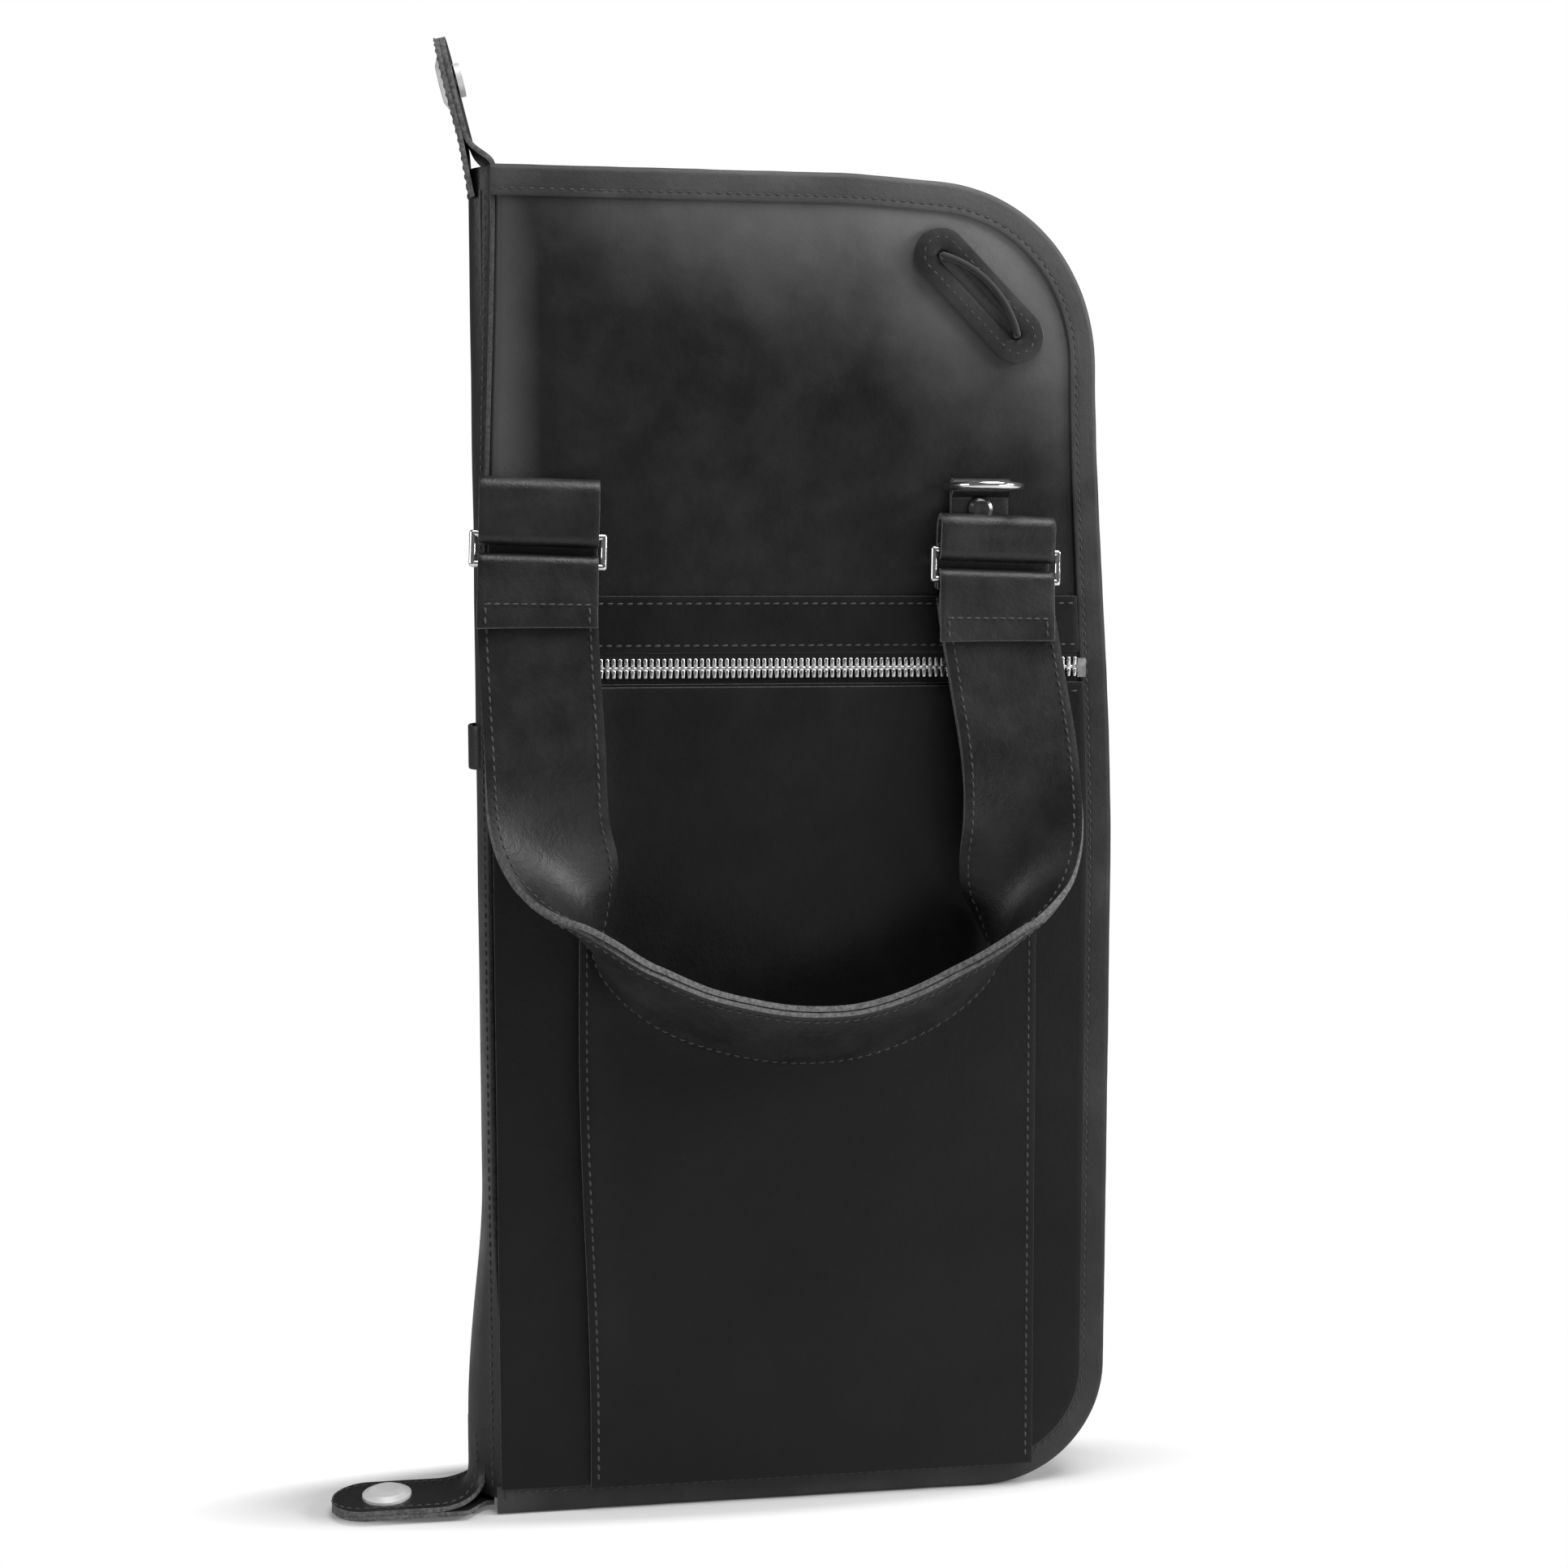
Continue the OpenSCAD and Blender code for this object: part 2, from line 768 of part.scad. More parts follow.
// Slice of the spine's round back between two radii and two heights
module spine_shell(r0, r1, z0, z1, y0, y1) {
    intersection() {
        translate([spine_axis_x, mid_y, z0])
            difference() {
                cylinder(r = r1, h = z1 - z0, $fn = round_fn);
                translate([0, 0, -1])
                    cylinder(r = r0, h = z1 - z0 + 2, $fn = round_fn);
            }
        box([left_x - 30, y0, z0 - 1], [spine_edge_x, y1, z1 + 1]);
    }
}

module spine_strip() {
    color("#1d1d1e")
        spine_shell(spine_r - spine_t, spine_r, spine_end_gap, spine_top, face_y, back_face_y);
}

module spine_lining() {
    color("#2b2b2d")
        spine_shell(spine_r - spine_t - lining_t, spine_r - spine_t, spine_end_gap + 2,
            spine_top - 2, face_y + 3, back_face_y - 3);
}

module spine_keeper() {
    color("#232324")
        spine_shell(spine_r, spine_r + spine_keeper_t, spine_keeper_z - spine_keeper_h / 2,
            spine_keeper_z + spine_keeper_h / 2, mid_y - 11, mid_y + 11);
}

// ---- snap tabs, drawn pointing along +X from a root at the origin, outer face up ----

module tab_body() {
    across(-tab_w / 2, tab_w / 2)
        circle(r = tab_r, $fn = small_fn);
    translate([0, -tab_w / 2, -tab_r])
        cube([tab_len - tab_w / 2, tab_w, tab_t]);
    translate([tab_len - tab_w / 2, 0, -tab_r])
        cylinder(r = tab_w / 2, h = tab_t, $fn = round_fn);
}

module tab_shape() {
    difference() {
        tab_body();
        translate([snap_reach, 0, -10])
            cylinder(r = snap_post_r() + 0.05, h = 20, $fn = small_fn);
    }
}

function snap_post_r() = 1.7;

module snap_cap_shape() {
    translate([snap_reach, 0, tab_r]) {
        cylinder(r = snap_cap_r, h = 1, $fn = small_fn);
        translate([0, 0, 1])
            cylinder(r1 = snap_cap_r, r2 = snap_cap_r - 2.4, h = snap_cap_h - 1, $fn = small_fn);
        translate([0, 0, -tab_t])
            cylinder(r = snap_post_r(), h = tab_t, $fn = small_fn);
    }
}

module snap_socket_shape() {
    translate([snap_reach, 0, -tab_r - socket_h])
        difference() {
            cylinder(r = socket_r, h = socket_h, $fn = small_fn);
            translate([0, 0, -1])
                cylinder(r = stud_r + 0.1, h = socket_h, $fn = small_fn);
        }
}

module on_top_root() {
    translate([top_root_x, mid_y, top_root_z])
        rotate([0, -90 - top_tab_lean, 0])
            children();
}

module on_bottom_root() {
    translate([bottom_root_x, bottom_tab_y, bottom_root_z])
        rotate([0, 0, 180])
            children();
}

module top_tab() {
    color("#1f1f20")
        on_top_root()
            tab_shape();
}

module top_snap_cap() {
    color("silver")
        on_top_root()
            snap_cap_shape();
}

module top_snap_socket() {
    color("silver")
        on_top_root()
            snap_socket_shape();
}

module bottom_tab() {
    color("#1f1f20")
        on_bottom_root()
            tab_shape();
}

module bottom_snap_cap() {
    color("silver")
        on_bottom_root()
            snap_cap_shape();
}

module bottom_snap_socket() {
    color("silver")
        on_bottom_root()
            snap_socket_shape();
}

// ---- back half ----

module back_panel() {
    color("#1b1b1c")
        on_back()
            half_panel();
}

module back_lining() {
    color("#2b2b2d")
        on_back()
            half_lining();
}

module back_gusset() {
    color("#1d1d1e")
        on_back()
            half_gusset();
}

module back_binding() {
    color("#202021")
        on_back()
            half_binding();
}

module back_zip_tape() {
    color("#18181a")
        on_back()
            half_zip_tape();
}

module back_zip_teeth() {
    color("silver")
        on_back()
            half_zip_teeth();
}

module stick_sleeves() {
    front_y = mid_y + 1.4;
    back_y = 2 * mid_y - lining_t;
    x0 = left_x + 4;
    x1 = right_x - corner_bottom_r / 2;
    inner_r = corner_bottom_r - teeth_mid - main_teeth_t / 2 - 1;
    z0 = corner_bottom_r - sqrt(inner_r * inner_r - corner_bottom_r * corner_bottom_r / 4);
    step = (x1 - x0 - sleeve_t) / sleeve_count;
    color("#2b2b2d") {
        box([x0, front_y, z0], [x1, front_y + sleeve_t, z0 + sleeve_h]);
        box([x0, front_y + sleeve_t, z0], [x1, back_y, z0 + sleeve_t]);
        for (i = [0 : sleeve_count])
            box([x0 + i * step, front_y + sleeve_t, z0 + sleeve_t],
                [x0 + i * step + sleeve_t, back_y, z0 + sleeve_h]);
    }
}

// ---- zip sliders and pulls ----

// Flat pull with an eye at its root, drawn along +X with its pin along Y through the origin
module pull_shape(length, width, thick) {
    eye_r = 1.9;
    difference() {
        union() {
            translate([0, -width / 2, -thick / 2])
                cube([length, width, thick]);
            across(-width / 2, width / 2)
                circle(r = eye_r, $fn = small_fn);
        }
        across(-width, width)
            circle(r = slider_pin_r() + 0.1, $fn = small_fn);
    }
}

function slider_pin_r() = 0.8;

// Two ears and the pin between them, drawn on a plate whose top is z = 0
module slider_ears(gap, height) {
    ear_t = 1;
    for (side = [-1, 1])
        translate([-1.6, side * (gap / 2 + ear_t / 2) - ear_t / 2, 0])
            cube([3.2, ear_t, height + 1.2]);
    translate([0, -gap / 2 - ear_t / 2, height])
        rotate([-90, 0, 0])
            cylinder(r = slider_pin_r(), h = gap + ear_t, $fn = small_fn);
}

pull_w = 4;
ear_gap = pull_w + 0.6;
pin_height = 2.1;

// Pocket slider: a plate over the teeth with a flange beside each row
module pocket_zip_slider() {
    plate_y = face_y - tooth_t - move_gap;
    half_z = tooth_chain_w / 2 + move_gap + 0.9;
    color("silver") {
        box([pocket_slider_x - 4.5, plate_y - 1.2, pocket_zip_z - half_z],
            [pocket_slider_x + 4.5, plate_y, pocket_zip_z + half_z]);
        for (side = [-1, 1])
            translate([pocket_slider_x - 4.5, plate_y, pocket_zip_z + side * (half_z - 0.45) - 0.45])
                cube([9, 1.5, 0.9]);
        translate([pocket_slider_x, plate_y - 1.2, pocket_zip_z])
            rotate([90, 0, 0])
                slider_ears(ear_gap, pin_height);
    }
}

module pocket_zip_pull() {
    plate_y = face_y - tooth_t - move_gap - 1.2;
    color("silver")
        translate([pocket_slider_x, plate_y - pin_height, pocket_zip_z])
            rotate([90, 0, 0])
                pull_shape(21, pull_w, 1.4);
}

// Main slider: a plate over the closed chain, with its flange on the front half's side
module main_zip_slider() {
    plate_z = bag_h - (teeth_mid - main_teeth_t / 2) + move_gap;
    color("silver") {
        box([main_slider_x - 5.5, mid_y - 4, plate_z], [main_slider_x + 5.5, mid_y + 4, plate_z + 1.3]);
        box([main_slider_x - 5.5, mid_y - 4, plate_z - 0.9],
            [main_slider_x + 5.5, mid_y - 3, plate_z]);
        translate([main_slider_x, mid_y, plate_z + 1.3])
            slider_ears(ear_gap, pin_height);
    }
}

module main_zip_pull() {
    plate_z = bag_h - (teeth_mid - main_teeth_t / 2) + move_gap + 1.3;
    color("silver")
        translate([main_slider_x, mid_y, plate_z + pin_height])
            pull_shape(26, pull_w, 1.4);
}

front_panel();
front_lining();
front_gusset();
front_binding();
front_zip_tape();
front_zip_teeth();
pocket_header();
pocket_zip_tape();
pocket_zip_teeth();
pocket_zip_stops();
zip_pocket_panel();
slip_pocket_panel();
cord_patch();
elastic_cord();
d_ring_keeper();
d_ring_rivet();
left_anchor_strap();
right_anchor_strap();
inner_pocket();
top_stud_patch();
top_snap_stud();
bottom_stud_patch();
bottom_snap_stud();
left_ring();
right_ring();
handle_strap();
handle_backing();
left_handle_loop();
right_handle_loop();
d_ring();
spine_strip();
spine_lining();
spine_keeper();
top_tab();
top_snap_cap();
top_snap_socket();
bottom_tab();
bottom_snap_cap();
bottom_snap_socket();
back_panel();
back_lining();
back_gusset();
back_binding();
back_zip_tape();
back_zip_teeth();
stick_sleeves();
pocket_zip_slider();
pocket_zip_pull();
main_zip_slider();
main_zip_pull();
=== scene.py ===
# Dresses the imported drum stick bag: soft leather, cloth, stitches and zip teeth over the fixed frame.
# Lengths are in millimetres inside this file and become metres where a mesh gets its points.
import math

import bpy
import numpy as np
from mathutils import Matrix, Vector, noise


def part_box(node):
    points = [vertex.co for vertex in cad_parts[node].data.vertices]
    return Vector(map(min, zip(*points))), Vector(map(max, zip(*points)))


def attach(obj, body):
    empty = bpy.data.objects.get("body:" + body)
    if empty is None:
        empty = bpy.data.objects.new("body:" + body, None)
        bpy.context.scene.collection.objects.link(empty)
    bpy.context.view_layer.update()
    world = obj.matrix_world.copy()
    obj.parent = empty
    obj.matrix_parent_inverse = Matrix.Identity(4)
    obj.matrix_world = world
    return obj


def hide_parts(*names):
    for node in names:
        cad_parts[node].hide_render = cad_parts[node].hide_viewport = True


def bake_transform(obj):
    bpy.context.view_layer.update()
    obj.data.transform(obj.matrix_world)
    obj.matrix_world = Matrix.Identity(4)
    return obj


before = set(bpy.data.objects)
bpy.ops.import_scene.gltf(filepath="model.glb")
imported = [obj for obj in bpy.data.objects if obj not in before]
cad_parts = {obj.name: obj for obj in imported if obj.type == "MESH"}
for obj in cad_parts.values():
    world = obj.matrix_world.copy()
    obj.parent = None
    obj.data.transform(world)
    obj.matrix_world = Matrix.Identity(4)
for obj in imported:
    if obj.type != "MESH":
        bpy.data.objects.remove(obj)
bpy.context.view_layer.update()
MM = 0.001

# ---- sizes of the bag, as its source has them ----
WIDE, HIGH = 219.0, 464.0
LEFT, RIGHT = -WIDE / 2, WIDE / 2
FACE, SEAM_BACK, MIDDLE = -2.0, 30.0, 15.0
TOP_CORNER, LOW_CORNER = 62.0, 44.0
BINDING_WIDE = 10.5
ZIP_Z = 296.3


def ramp(value, start, end):
    """Rises smoothly from 0 at start to 1 at end."""
    t = min(1.0, max(0.0, (value - start) / (end - start)))
    return t * t * (3 - 2 * t)


def settle(x, y, z):
    """Where a point of the straight bag comes to on the real one, which draws in towards its top."""
    right, left = max(0.0, x) / RIGHT, max(0.0, -x) / RIGHT
    x -= 8.3 * ramp(z, 225, 415) * right ** 1.5
    x += 3.6 * ramp(z, 320, 466) * left ** 2
    z -= 2.6 * ramp(x, 8, 62) * ramp(z, 330, 460)
    return x, y, z


def face_wave(x, z):
    """How far the slack leather of a face falls inwards."""
    edge = min(x - LEFT, RIGHT - x, z, HIGH - z)
    swell = 0.5 + 0.5 * noise.noise(Vector((x / 75, z / 90, 3.1)))
    return 0.75 * swell * ramp(edge, 8, 40)


# ---- camera ----
bpy.ops.object.select_all(action="DESELECT")
bpy.ops.object.camera_add(location=(-0.1091, -0.7225, 0.3265),
                          rotation=(math.radians(84.5), 0, math.radians(-8)))
camera = bpy.context.object
camera.data.lens, camera.data.sensor_width = 48.447, 36
camera.data.clip_start, camera.data.clip_end = 0.01, 50
bpy.context.scene.camera = camera


# ---- materials ----
# sockets that go by number, because several of one node share a name
OBJECT_PLACE = 3
MIX_SHARE, MIX_A, MIX_B, MIX_OUT = 0, 6, 7, 2


def new_material(name):
    """A material with its shader, and short ways to add and join nodes."""
    material = bpy.data.materials.new(name)
    material.use_nodes = True
    tree = material.node_tree
    shader = tree.nodes["Principled BSDF"]

    def add(kind, **values):
        node = tree.nodes.new(kind)
        for key, value in values.items():
            if key in node.inputs:
                node.inputs[key].default_value = value
            else:
                setattr(node, key, value)
        return node

    def join(a, b, out=0, into=0):
        tree.links.new(a.outputs[out], b.inputs[into])
    return material, shader, add, join


def set_range(node, *limits):
    """Sets a map range node: from low and from high, to low and to high."""
    for socket, value in zip(node.inputs[1:5], limits):
        socket.default_value = value


def colour_ramp(node, stops):
    """Sets the stops of a colour ramp: place and grey level or colour."""
    band = node.color_ramp
    while len(band.elements) < len(stops):
        band.elements.new(0.5)
    for element, (place, level) in zip(band.elements, stops):
        element.position = place
        element.color = (*((level,) * 3 if isinstance(level, float) else level), 1)


def pull_up_leather(name, dark, light, painted_highlight=0.0, grain=1.0, shine=0.5, gloss_level=0.3):
    """Black waxed leather: cloudy marks and fine grain. A painted highlight makes it paler towards the top
    of the bag, most at the right, and where it rolls round the left edge, standing in for the light that
    falls there."""
    material, shader, add, join = new_material(name)
    place = add("ShaderNodeTexCoord")
    cloud = add("ShaderNodeTexNoise", Scale=17.0, Detail=4.0, Roughness=0.55)
    streak = add("ShaderNodeTexNoise", Scale=60.0, Detail=5.0, Roughness=0.62)
    join(place, cloud, out=OBJECT_PLACE)
    join(place, streak, out=OBJECT_PLACE)
    tones = add("ShaderNodeValToRGB")
    colour_ramp(tones, [(0.30, dark), (0.72, light)])
    join(cloud, tones)
    marks = add("ShaderNodeValToRGB")
    colour_ramp(marks, [(0.42, 0.72), (0.72, 1.35)])
    join(streak, marks)
    mixed = add("ShaderNodeMix", data_type="RGBA", blend_type="MULTIPLY")
    mixed.inputs[MIX_SHARE].default_value = 0.8
    join(tones, mixed, into=MIX_A)
    join(marks, mixed, into=MIX_B)
    colour = mixed
    # painted highlight: paler colour towards the top and right of the bag, where the light falls
    if painted_highlight:
        split = add("ShaderNodeSeparateXYZ")
        join(place, split, out=OBJECT_PLACE)
        sway = add("ShaderNodeMath", operation="MULTIPLY_ADD")
        sway.inputs[1].default_value = 0.06
        join(cloud, sway)
        join(split, sway, out=2, into=2)
        lean = add("ShaderNodeMath", operation="MULTIPLY_ADD")
        lean.inputs[1].default_value = 0.45
        join(split, lean)
        join(sway, lean, into=2)
        reach = add("ShaderNodeMapRange", interpolation_type="SMOOTHSTEP")
        set_range(reach, 0.42, 0.54, 0.0, painted_highlight)
        join(lean, reach)
        # painted highlight along the left edge, where the leather rolls round and catches the light
        rolled = add("ShaderNodeMapRange")
        set_range(rolled, -0.090, -0.104, 0.0, painted_highlight * 0.3)
        join(split, rolled)
        paler_one = add("ShaderNodeMath", operation="MAXIMUM")
        join(reach, paler_one)
        join(rolled, paler_one, into=1)
        pale = add("ShaderNodeMix", data_type="RGBA")
        # the grey mixed in where the painted highlight lies
        pale.inputs[MIX_B].default_value = (0.23, 0.23, 0.23, 1)
        join(paler_one, pale)
        join(mixed, pale, out=MIX_OUT, into=MIX_A)
        colour = pale
    material.node_tree.links.new(colour.outputs[MIX_OUT], shader.inputs["Base Color"])
    gloss = add("ShaderNodeMapRange")
    set_range(gloss, 0.3, 0.7, shine, shine + 0.16)
    join(streak, gloss)
    material.node_tree.links.new(gloss.outputs[0], shader.inputs["Roughness"])
    pores = add("ShaderNodeTexVoronoi", Scale=1500.0)
    folds = add("ShaderNodeTexNoise", Scale=420.0, Detail=3.0)
    join(place, pores, out=OBJECT_PLACE)
    join(place, folds, out=OBJECT_PLACE)
    fine = add("ShaderNodeBump", Strength=0.10 * grain, Distance=0.0004)
    wide = add("ShaderNodeBump", Strength=0.16 * grain, Distance=0.0008)
    join(pores, fine, into=fine.inputs.find("Height"))
    join(folds, wide, into=wide.inputs.find("Height"))
    join(fine, wide, into=wide.inputs.find("Normal"))
    material.node_tree.links.new(wide.outputs[0], shader.inputs["Normal"])
    shader.inputs["Specular IOR Level"].default_value = gloss_level
    return material


def raw_edge(name, dark, light):
    """Cut leather: pale grey fibres."""
    material, shader, add, join = new_material(name)
    place = add("ShaderNodeTexCoord")
    fibre = add("ShaderNodeTexNoise", Scale=900.0, Detail=3.0)
    join(place, fibre, out=OBJECT_PLACE)
    tones = add("ShaderNodeValToRGB")
    colour_ramp(tones, [(0.3, dark), (0.7, light)])
    join(fibre, tones)
    material.node_tree.links.new(tones.outputs[0], shader.inputs["Base Color"])
    bump = add("ShaderNodeBump", Strength=0.35, Distance=0.0005)
    join(fibre, bump, into=bump.inputs.find("Height"))
    material.node_tree.links.new(bump.outputs[0], shader.inputs["Normal"])
    shader.inputs["Roughness"].default_value = 0.85
    return material


def woven(name, dark, light, threads, rough=0.9):
    """Plain cloth, tape or thread, with so many threads to a metre along each axis."""
    material, shader, add, join = new_material(name)
    place = add("ShaderNodeTexCoord")
    split = add("ShaderNodeSeparateXYZ")
    join(place, split, out=OBJECT_PLACE)
    waves = []
    for axis in range(3):
        turn = add("ShaderNodeMath", operation="MULTIPLY")
        turn.inputs[1].default_value = threads * 2 * math.pi
        join(split, turn, out=axis)
        wave = add("ShaderNodeMath", operation="SINE")
        join(turn, wave)
        waves.append(wave)
    crossed = add("ShaderNodeMath", operation="MULTIPLY")
    join(waves[0], crossed)
    join(waves[2], crossed, into=1)
    weave = add("ShaderNodeMath", operation="ADD")
    join(crossed, weave)
    join(waves[1], weave, into=1)
    span = add("ShaderNodeMapRange")
    set_range(span, -1.4, 1.4, 0.0, 1.0)
    join(weave, span)
    tones = add("ShaderNodeValToRGB")
    colour_ramp(tones, [(0.1, dark), (0.9, light)])
    join(span, tones)
    material.node_tree.links.new(tones.outputs[0], shader.inputs["Base Color"])
    bump = add("ShaderNodeBump", Strength=0.4, Distance=0.0003)
    join(span, bump, into=bump.inputs.find("Height"))
    material.node_tree.links.new(bump.outputs[0], shader.inputs["Normal"])
    shader.inputs["Roughness"].default_value = rough
    shader.inputs["Sheen Weight"].default_value = 0.25
    return material


def plated(name, level, rough, scuff=0.12, metal=1.0):
    """Plated or lacquered metal with faint rubbing."""
    material, shader, add, join = new_material(name)
    place = add("ShaderNodeTexCoord")
    rub = add("ShaderNodeTexNoise", Scale=260.0, Detail=4.0)
    join(place, rub, out=OBJECT_PLACE)
    spread = add("ShaderNodeMapRange")
    set_range(spread, 0.35, 0.7, rough, rough + scuff)
    join(rub, spread)
    material.node_tree.links.new(spread.outputs[0], shader.inputs["Roughness"])
    tones = add("ShaderNodeValToRGB")
    colour_ramp(tones, [(0.3, level * 0.9), (0.7, level)])
    join(rub, tones)
    material.node_tree.links.new(tones.outputs[0], shader.inputs["Base Color"])
    shader.inputs["Metallic"].default_value = metal
    return material


# the panel and binding leathers carry a painted highlight towards the top and right and along the rolled
# left edge
PANEL_LEATHER = pull_up_leather("panel_leather", 0.004, 0.013, painted_highlight=1.0, shine=0.42)
POCKET_LEATHER = pull_up_leather("pocket_leather", 0.002, 0.007, shine=0.44, gloss_level=0.25)
STRAP_LEATHER = pull_up_leather("strap_leather", 0.005, 0.016, grain=1.3, shine=0.36, gloss_level=0.45)
PATCH_LEATHER = pull_up_leather("patch_leather", 0.018, 0.050, shine=0.40)
BINDING_LEATHER = pull_up_leather("binding_leather", 0.016, 0.045, painted_highlight=0.35, grain=1.2, shine=0.5)
CUT_EDGE = raw_edge("cut_edge", 0.05, 0.16)
DARK_EDGE = raw_edge("dark_edge", 0.02, 0.06)
THREAD = woven("black_thread", 0.012, 0.035, 2500, 0.7)
PALE_THREAD = woven("grey_thread", 0.022, 0.060, 2500, 0.7)
LINING = woven("lining_cloth", 0.035, 0.06, 1400)
TAPE = woven("zip_tape_cloth", 0.008, 0.022, 1800)
SHEATH = woven("cord_sheath", 0.005, 0.018, 2200, 0.75)
ZIP_METAL = plated("zip_metal", 0.72, 0.22)
NICKEL = plated("nickel_plate", 0.82, 0.10)


# ---- making pieces ----
BEVEL_ANGLE, SHEET_SMOOTH, COPY_SMOOTH = math.radians(50), math.radians(40), math.radians(50)


def select_only(piece):
    bpy.ops.object.select_all(action="DESELECT")
    piece.select_set(True)
    bpy.context.view_layer.objects.active = piece


def apply_all(piece):
    """Applies every modifier of the piece and leaves it the only thing selected."""
    select_only(piece)
    for modifier in list(piece.modifiers):
        bpy.ops.object.modifier_apply(modifier=modifier.name)


def in_edit_mode(piece, *steps):
    """Runs edit-mode operators on everything in the piece."""
    select_only(piece)
    bpy.ops.object.mode_set(mode="EDIT")
    bpy.ops.mesh.select_all(action="SELECT")
    for step in steps:
        step()
    bpy.ops.object.mode_set(mode="OBJECT")


def cut_sheet(name, cells, place, thick, finish, edge=CUT_EDGE, flip=False, round_over=0.3):
    """A sheet of leather or cloth: a flat grid laid so that u runs right and v up as its outer side
    is seen, given its shape point by point, then its thickness inwards and soft edges."""
    bpy.ops.object.select_all(action="DESELECT")
    bpy.ops.mesh.primitive_grid_add(x_subdivisions=cells[0], y_subdivisions=cells[1], size=1)
    piece = bpy.context.object
    piece.name = piece.data.name = name
    for vertex in piece.data.vertices:
        vertex.co = Vector(place(vertex.co.x + 0.5, vertex.co.y + 0.5)) * MM
    in_edit_mode(piece, lambda: bpy.ops.mesh.remove_doubles(threshold=0.02 * MM))
    if flip:
        in_edit_mode(piece, bpy.ops.mesh.flip_normals)
    piece.data.materials.append(finish)
    piece.data.materials.append(edge)
    wall = piece.modifiers.new("thickness", "SOLIDIFY")
    wall.thickness = thick * MM
    wall.offset = -1
    wall.use_even_offset = False
    wall.material_offset_rim = 1
    if round_over:
        soft = piece.modifiers.new("soft edges", "BEVEL")
        soft.width = round_over * MM
        soft.segments = 2
        soft.limit_method = "ANGLE"
        soft.angle_limit = BEVEL_ANGLE
    apply_all(piece)
    bpy.ops.object.shade_smooth_by_angle(angle=SHEET_SMOOTH)
    return piece


def copies_on(name, pattern, frames, finish):
    """One mesh holding a copy of the pattern at every frame: a point and three directions."""
    points = np.array([v.co for v in pattern.data.vertices], float)
    faces = [list(p.vertices) for p in pattern.data.polygons]
    all_points, all_faces = [], []
    for origin, a, b, c in frames:
        turn = np.array([a, b, c], float)
        all_faces += [[i + len(all_points) * len(points) for i in f] for f in faces]
        all_points.append(points @ turn + np.array(origin, float) * MM)
    mesh = bpy.data.meshes.new(name)
    mesh.from_pydata(np.concatenate(all_points).tolist(), [], all_faces)
    mesh.materials.append(finish)
    piece = bpy.data.objects.new(name, mesh)
    bpy.context.scene.collection.objects.link(piece)
    select_only(piece)
    bpy.ops.object.shade_smooth_by_angle(angle=COPY_SMOOTH)
    return piece


STITCH_HALF, STITCH_R, STITCH_DIP = 1.15, 0.34, 0.22
STITCH_SLANT, STITCH_LIFT = 0.10, 0.08


def one_stitch():
    """A short thread that dips into the leather at both ends, lying along X with Z outwards."""
    bpy.ops.object.select_all(action="DESELECT")
    bpy.ops.mesh.primitive_uv_sphere_add(segments=8, ring_count=6, radius=1, rotation=(0, math.pi / 2, 0))
    stitch = bpy.context.object
    bpy.ops.object.transform_apply(location=True, rotation=True, scale=True)
    for v in stitch.data.vertices:
        x = v.co.x
        v.co = Vector((x * STITCH_HALF, v.co.y * STITCH_R, v.co.z * STITCH_R - STITCH_DIP * x * x)) * MM
    return stitch


STITCH = one_stitch()
seam_count = 0


def seam(line, body, finish=THREAD, pitch=3.3, blended=None):
    """Stitches along a line of (point, outward direction); they ride on the body, or when blended is given
    they are baked where they stand and ride on nothing, the blend's bodies and hinge going unused.
    """
    global seam_count
    seam_count += 1
    points = [Vector(p) for p, _ in line]
    normals = [Vector(n) for _, n in line]
    lengths = [0.0]
    for a, b in zip(points, points[1:]):
        lengths.append(lengths[-1] + (b - a).length)
    count = max(1, int(lengths[-1] / pitch))
    frames, k = [], 0
    for i in range(count):
        at = (i + 0.5) * lengths[-1] / count
        while k < len(points) - 2 and lengths[k + 1] < at:
            k += 1
        share = (at - lengths[k]) / max(1e-6, lengths[k + 1] - lengths[k])
        along = (points[k + 1] - points[k]).normalized()
        out = normals[k].lerp(normals[k + 1], share)
        out = (out - along * out.dot(along)).normalized()
        along = (along + out.cross(along) * STITCH_SLANT).normalized()
        here = points[k].lerp(points[k + 1], share) + out * STITCH_LIFT
        frames.append((here, along, out.cross(along), out))
    piece = copies_on(f"stitches_{seam_count:02d}", STITCH, frames, finish)
    if blended:
        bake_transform(piece)
    else:
        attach(piece, body)


def dress(piece, body, slot, *nodes):
    """The piece rides on the body and stands for the nodes. The slot is not used."""
    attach(piece, body)
    if nodes:
        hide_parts(*nodes)


def spaced(start, end, count):
    return [start + (end - start) * i / (count - 1) for i in range(count)]


# ---- the rim: top edge, opening side and bottom edge ----
TOP_RUN, SIDE_RUN = WIDE - TOP_CORNER, HIGH - TOP_CORNER - LOW_CORNER
TOP_ARC, LOW_ARC = math.pi / 2 * TOP_CORNER, math.pi / 2 * LOW_CORNER
LOW_RUN = WIDE - LOW_CORNER
RIM = TOP_RUN + TOP_ARC + SIDE_RUN + LOW_ARC + LOW_RUN


